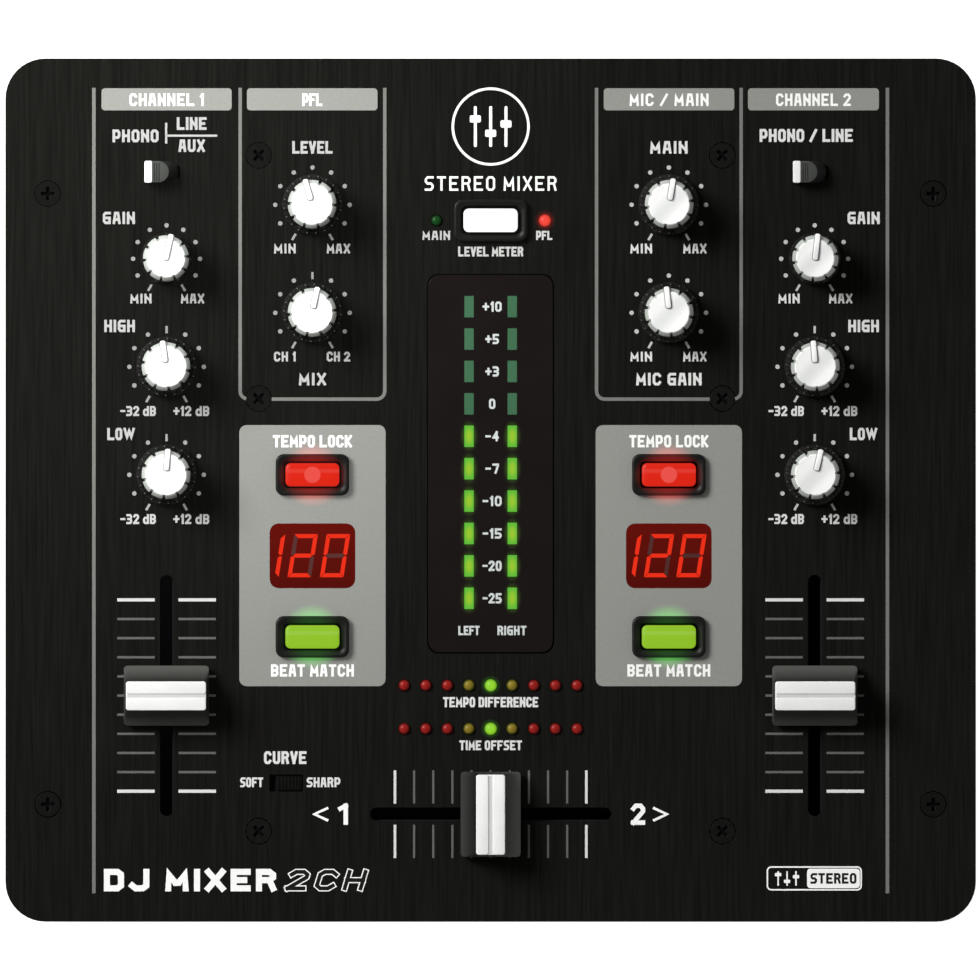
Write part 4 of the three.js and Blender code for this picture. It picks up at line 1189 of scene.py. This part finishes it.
def control_board():
    """One CAD node holds the board and what stands on it, so its paint goes by height."""
    made = Paint("board_green", (0.015, 0.09, 0.03), 0.4, Specular_IOR_Level=0.1)
    height = made.height()
    cans = made.spread(height, 0, 1, BOARD_TOP + 0.1, BOARD_TOP + 0.2)
    heads = made.spread(height, 0, 1, TOP - 2.6, TOP - 2.5)
    speckle = made.blend(made.spread(made.noise(0.6, 4), 0, 1), (0.012, 0.075, 0.025), (0.02, 0.11, 0.035))
    lower = made.blend(cans, speckle, (0.2, 0.2, 0.2))
    # The screw heads on the board get the same painted shade in their recesses.
    made.use(made.blend(heads, lower, screw_recess_shade(made)))
    made.uneven(made.noise(0.6, 4), 0.36, 0.46)
    dress("control_board", made, 0.12)


def feet():
    for name in ("foot_front_left", "foot_front_right", "foot_rear_left", "foot_rear_right"):
        at = Place(name)
        foot = Shape()
        profile = [(0.1, 0.8), (2.2, 0.8), (2.5, 0.4), (3.2, 0.4), (3.4, 0), (6.6, 0), (7.2, 0.3),
                   (8.0, 1.6), (8.0, 3.3), (7.7, 3.9), (2.5, 3.9), (2.5, 6.7), (2.2, 7.0)]
        foot.turn(at.x, at.y, profile)
        piece(f"{name}_pad", foot, [paint["rubber"]], stands_for=[name])


# ---- Connectors ----


def facing_rear(x, z, y=None):
    """A frame whose +Z points out of the rear panel, +X to the user's right as seen from above."""
    return Matrix.Translation((x, REAR_FACE if y is None else y, z)) @ Matrix.Rotation(-math.pi / 2, 4, "X")


def facing_front(x, z):
    return Matrix.Translation((x, FRONT_FACE, z)) @ Matrix.Rotation(math.pi / 2, 4, "X")


PLUG_PITCH, PLUG_Z = 16, 40


def phono_block(node):
    """Four phono sockets on a black block: white ones above for left, red ones below for right."""
    at = Place(node)
    back = at.low.y - REAR_FACE
    block = Shape(facing_rear(at.x, PLUG_Z))
    size = PLUG_PITCH + 13.2
    block.slab(0, 0, size, size, 1.5, back, -1.8, 0.4)
    for dx in SIDES:
        for dz in SIDES:
            u, v = dx * PLUG_PITCH / 2, dz * PLUG_PITCH / 2
            block.turn(u, v, [(5.6, -1.9), (5.6, 0.6), (5.4, 0.8), (1, 0.8)], 40)
            barrel = [(4.15, 0.7), (4.15, 8.7), (3.95, 9.0), (3.45, 9.0), (3.3, 8.8), (3.3, 1.6), (3.2, 1.0)]
            block.turn(u, v, barrel + [(3.2, 0.7)], 40, paint=1, closed=True)
            colour = 2 if v < 0 else 3
            block.turn(u, v, [(3.25, 0.8), (3.25, 5.5), (3.0, 5.9), (1.7, 5.9), (1.6, 5.7), (1.6, 0.8)], 32,
                       paint=colour, closed=True)
            block.washer(u, v, 5.35, 4.3, 0.75, 1.15, 40, paint=colour)
    paints = [paint["socket"], paint["nickel"], paint["socket_white"], paint["socket_red"]]
    piece(f"{node}_block", block, paints, stands_for=[node])


def ground_terminal():
    """A stud with a knurled thumb nut, a washer and a nut inside."""
    at = Place("ground_terminal")
    post = Shape(facing_rear(at.x, at.z))
    knurl = toothed(24, 0.06, 3)
    back = at.low.y - REAR_FACE
    post.turn(0, 0, [(1.7, back), (2, back + 0.3), (2, 8.6), (1.6, 9)], 24)
    nut = [(4.1, 1.6, 0), (4.6, 1.9, 0.25), (4.6, 5.6, 0.25), (4.3, 5.9, 0), (3.2, 6.2, 0), (3.0, 7.2, 0)]
    post.loft([toothed_ring(knurl, radius, z, depth) for radius, z, depth in nut])
    post.turn(0, 0, [(3.9, 0.3), (4, 0.4), (4, 0.8), (3.9, 0.9)], 32)
    post.turn(0, 0, [(3.8, -4.5), (3.8, -1.8)], 6)
    piece("ground_post", post, [paint["nickel"]], stands_for=["ground_terminal"])


def data_socket():
    """The metal shell keeps its CAD shape, with a white tongue and rows of contacts in its mouth."""
    dress("data_socket", paint["nickel"], 0.25)
    at = Place("data_socket")
    tongue = Shape(facing_rear(at.x, at.z, at.high.y))
    tongue.slab(0, 0, 5.6, 3.0, 0.3, -9.8, -1.6, 0.2)
    for x in (-1.3, 1.3):
        for y in SIDES:
            tongue.slab(x, y * 1.5, 1.0, 0.3, 0.1, -8, -2, paint=1)
    piece("data_socket_tongue", tongue, [paint["socket_white"], paint["brass"]])


def power_inlet():
    """The mains module with its three blades, and the rocker with its marks."""
    dress("power_inlet", paint["socket"], 0.4, 3)
    at = Place("power_inlet")
    inlet_z, rocker_z, pivot_depth = 20.5, 45.2, 1.0
    blades = Shape(facing_rear(at.x, inlet_z, at.high.y))
    for x, drop in ((-7, 1.6), (0, -2.4), (7, 1.6)):
        blades.slab(x, drop, 2.2, 4.2, 0.3, -16.8, -4.5, 0.25)
    piece("power_inlet_blades", blades, [paint["nickel"]])
    dress("power_rocker", paint["socket"], 0.35, 3)
    pivot = Vector((at.x, REAR_FACE + pivot_depth, rocker_z))
    face_tilt, rest_tilt, reach, face = 8.1, 8, 5.2, 2.36
    stamp = Shape()
    rocker = Matrix.Translation(pivot) @ Matrix.Rotation(math.radians(rest_tilt), 4, "X")
    for side in (1, -1):
        lean = Matrix.Rotation(math.radians(-90 - side * face_tilt), 4, "X")
        stamp.place = rocker @ (Matrix.Translation((0, face, side * reach)) @ lean)
        if side < 0:
            stamp.washer(0, 0, 1.7, 1.2, 0, 0.06, 32)
        else:
            stamp.slab(0, 0, 0.5, 3.4, 0.1, 0, 0.06)
    piece("power_rocker_marks", stamp, [paint["ink_bright"]], body="power_rocker")


def front_jack(node):
    """A threaded sleeve with a washer and a hexagonal nut, and its body inside the case."""
    at = Place(node)
    jack = Shape(facing_front(at.x, at.z))
    can = at.width
    inside = -1.8
    jack.slab(0, 0, can, can, 0.8, inside - 30, inside, 0.3, paint=1)
    bore, sleeve = 3.3, 4.6
    crests = []
    for k in range(5):
        crests += [(sleeve, 0.5 * k - 0.1), (sleeve - 0.15, 0.5 * k + 0.15)]
    tube = [(bore, inside - 1), (sleeve, inside - 1), *crests, (sleeve - 0.1, 2.4), (sleeve - 0.35, 2.6)]
    tube += [(bore + 0.4, 2.6), (bore, 2.2)]
    jack.turn(0, 0, tube, closed=True)
    # A near-black disc closes the bore, as painted shade inside it.
    jack.turn(0, 0, [(bore, -1.5), (0.1, -1.4)], 32, paint=2)
    hole = sleeve + 0.05
    washer = [(hole, 0.3), (6.5, 0.3), (6.6, 0.4), (6.6, 0.55), (6.5, 0.65), (hole, 0.65)]
    jack.turn(0, 0, washer, closed=True)
    nut = [(sleeve, 0.65), (5.9, 0.65), (6.5, 0.95), (6.5, 1.75), (5.9, 2.05), (sleeve, 2.05)]
    jack.turn(0, 0, nut, 6, closed=True)
    piece(f"{node}_fitting", jack, [paint["nickel"], paint["socket"], paint["hole"]],
          stands_for=[node])


def case_print():
    """Plain legends on the front wall and round the connectors at the rear."""
    front = Shape(facing_front(0, 0))
    for node, label, width in (("headphone_jack", "PHONES", 12), ("microphone_jack", "MIC", 6)):
        at = Place(node)
        front.text(label, at.x, at.z + 11.5, width, 2.6, 0, INK)
    piece("front_legend", front, [paint["ink"]])
    about_face = Matrix.Rotation(math.pi, 4, "Z") @ Matrix.Rotation(math.pi / 2, 4, "X")
    rear = Shape(Matrix.Translation((0, REAR_FACE, 0)) @ about_face)
    for node, label, width in (
        ("input_sockets_1", "CHANNEL 1", 15),
        ("input_sockets_2", "CHANNEL 2", 15),
        ("output_sockets", "OUTPUT", 12),
    ):
        at = Place(node)
        rear.frame(-at.x, at.z, 34, 42, 2, 0.4, 0, INK)
        rear.text(label, -at.x, at.z + 17.6, width, 2.4, 0, INK)
        upper, lower = ("MAIN", "BOOTH") if node == "output_sockets" else ("LINE", "PHONO")
        for word, x in ((upper, 8), (lower, -8)):
            rear.text(word, -at.x + x, at.z - 18, 8 if len(word) > 4 else 6.5, 1.9, 0, INK)
    for node, label, width in (("ground_terminal", "GND", 5), ("data_socket", "DATA", 6)):
        at = Place(node)
        rear.text(label, -at.x, at.z - 9, width, 2, 0, INK)
    piece("rear_legend", rear, [paint["ink"]])


# ---- Stage: floor, light and camera ----

VIEW_WIDTH = 230.44
VIEW_MIDDLE = (-0.15, 0.03)
CAMERA_RISE = 6000


def floor():
    """A wide pale floor that is bright enough of itself to stay white under the camera."""
    mesh = bpy.data.meshes.new("floor")
    half, drop = 40000 * MM, -0.02 * MM
    corners = [(-half, -half, drop), (half, -half, drop), (half, half, drop), (-half, half, drop)]
    mesh.from_pydata(corners, [], [(0, 1, 2, 3)])
    ground = add_object("floor", mesh)
    made = Paint("floor_white", (0.42, 0.42, 0.42), 0.9, glow=(0.94, 0.94, 0.94), Specular_IOR_Level=0.0)
    mesh.materials.append(made.material)


def studio():
    """A bright band round the horizon with a dark zenith, so that the panel stays black from above."""
    world = bpy.data.worlds.new("studio")
    bpy.context.scene.world = world
    world.use_nodes = True
    nodes, links = world.node_tree.nodes, world.node_tree.links
    direction = nodes.new("ShaderNodeTexCoord").outputs["Generated"]
    parts = nodes.new("ShaderNodeSeparateXYZ")
    links.new(direction, parts.inputs[0])
    ramp = nodes.new("ShaderNodeValToRGB")
    stops = ramp.color_ramp.elements
    stops[0].color = (1, 1, 1, 1)
    stops[1].color = (0.06, 0.06, 0.06, 1)
    for position, level in ((0.72, 0.95), (0.9, 0.12)):
        stops.new(position).color = (level, level, level, 1)
    links.new(parts.outputs["Z"], ramp.inputs["Fac"])
    links.new(ramp.outputs["Color"], nodes["Background"].inputs["Color"])
    nodes["Background"].inputs["Strength"].default_value = 0.42


def studio_light(name, kind, place, aim, watts, **settings):
    light = bpy.data.lights.new(name, kind)
    light.energy = watts
    for key, value in settings.items():
        setattr(light, key, value)
    made = add_object(name, light)
    made.location = Vector(place) * MM
    direction = (Vector(aim) - Vector(place)).normalized()
    made.rotation_mode = "QUATERNION"
    made.rotation_quaternion = direction.to_track_quat("-Z", "Y")
    made.visible_camera = False
    return made


def lights():
    studio_light("key", "AREA", (-1000, 640, 1150), (0, 0, TOP), 34.0, shape="DISK", size=0.8)
    spot = studio_light("corner_spot", "SPOT", (-200, 330, 560), (-86, 86, TOP), 12.4,
                        spot_size=math.radians(26), spot_blend=1.0, shadow_soft_size=0.04, use_shadow=False)
    spot.visible_glossy = False


def camera():
    """A very long lens straight above the panel, so that nothing shows its sides."""
    lens_data = bpy.data.cameras.new("camera")
    lens_data.sensor_width = 36
    lens_data.lens = lens_data.sensor_width * CAMERA_RISE / VIEW_WIDTH
    lens_data.clip_start, lens_data.clip_end = 0.1, 100
    made = add_object("camera", lens_data)
    made.location = Vector((*VIEW_MIDDLE, TOP + CAMERA_RISE)) * MM
    bpy.context.scene.camera = made


panel()
panel_print()
knobs()
faders()
for number in (1, 2):
    input_switch(number)
curve_switch()
buttons()
displays()
level_meter()
status_lights()
case()
control_board()
feet()
for block in ("input_sockets_1", "input_sockets_2", "output_sockets"):
    phono_block(block)
ground_terminal()
data_socket()
power_inlet()
for jack_node in ("headphone_jack", "microphone_jack"):
    front_jack(jack_node)
case_print()
floor()
studio()
lights()
camera()
bpy.context.scene.view_settings.view_transform = "Standard"
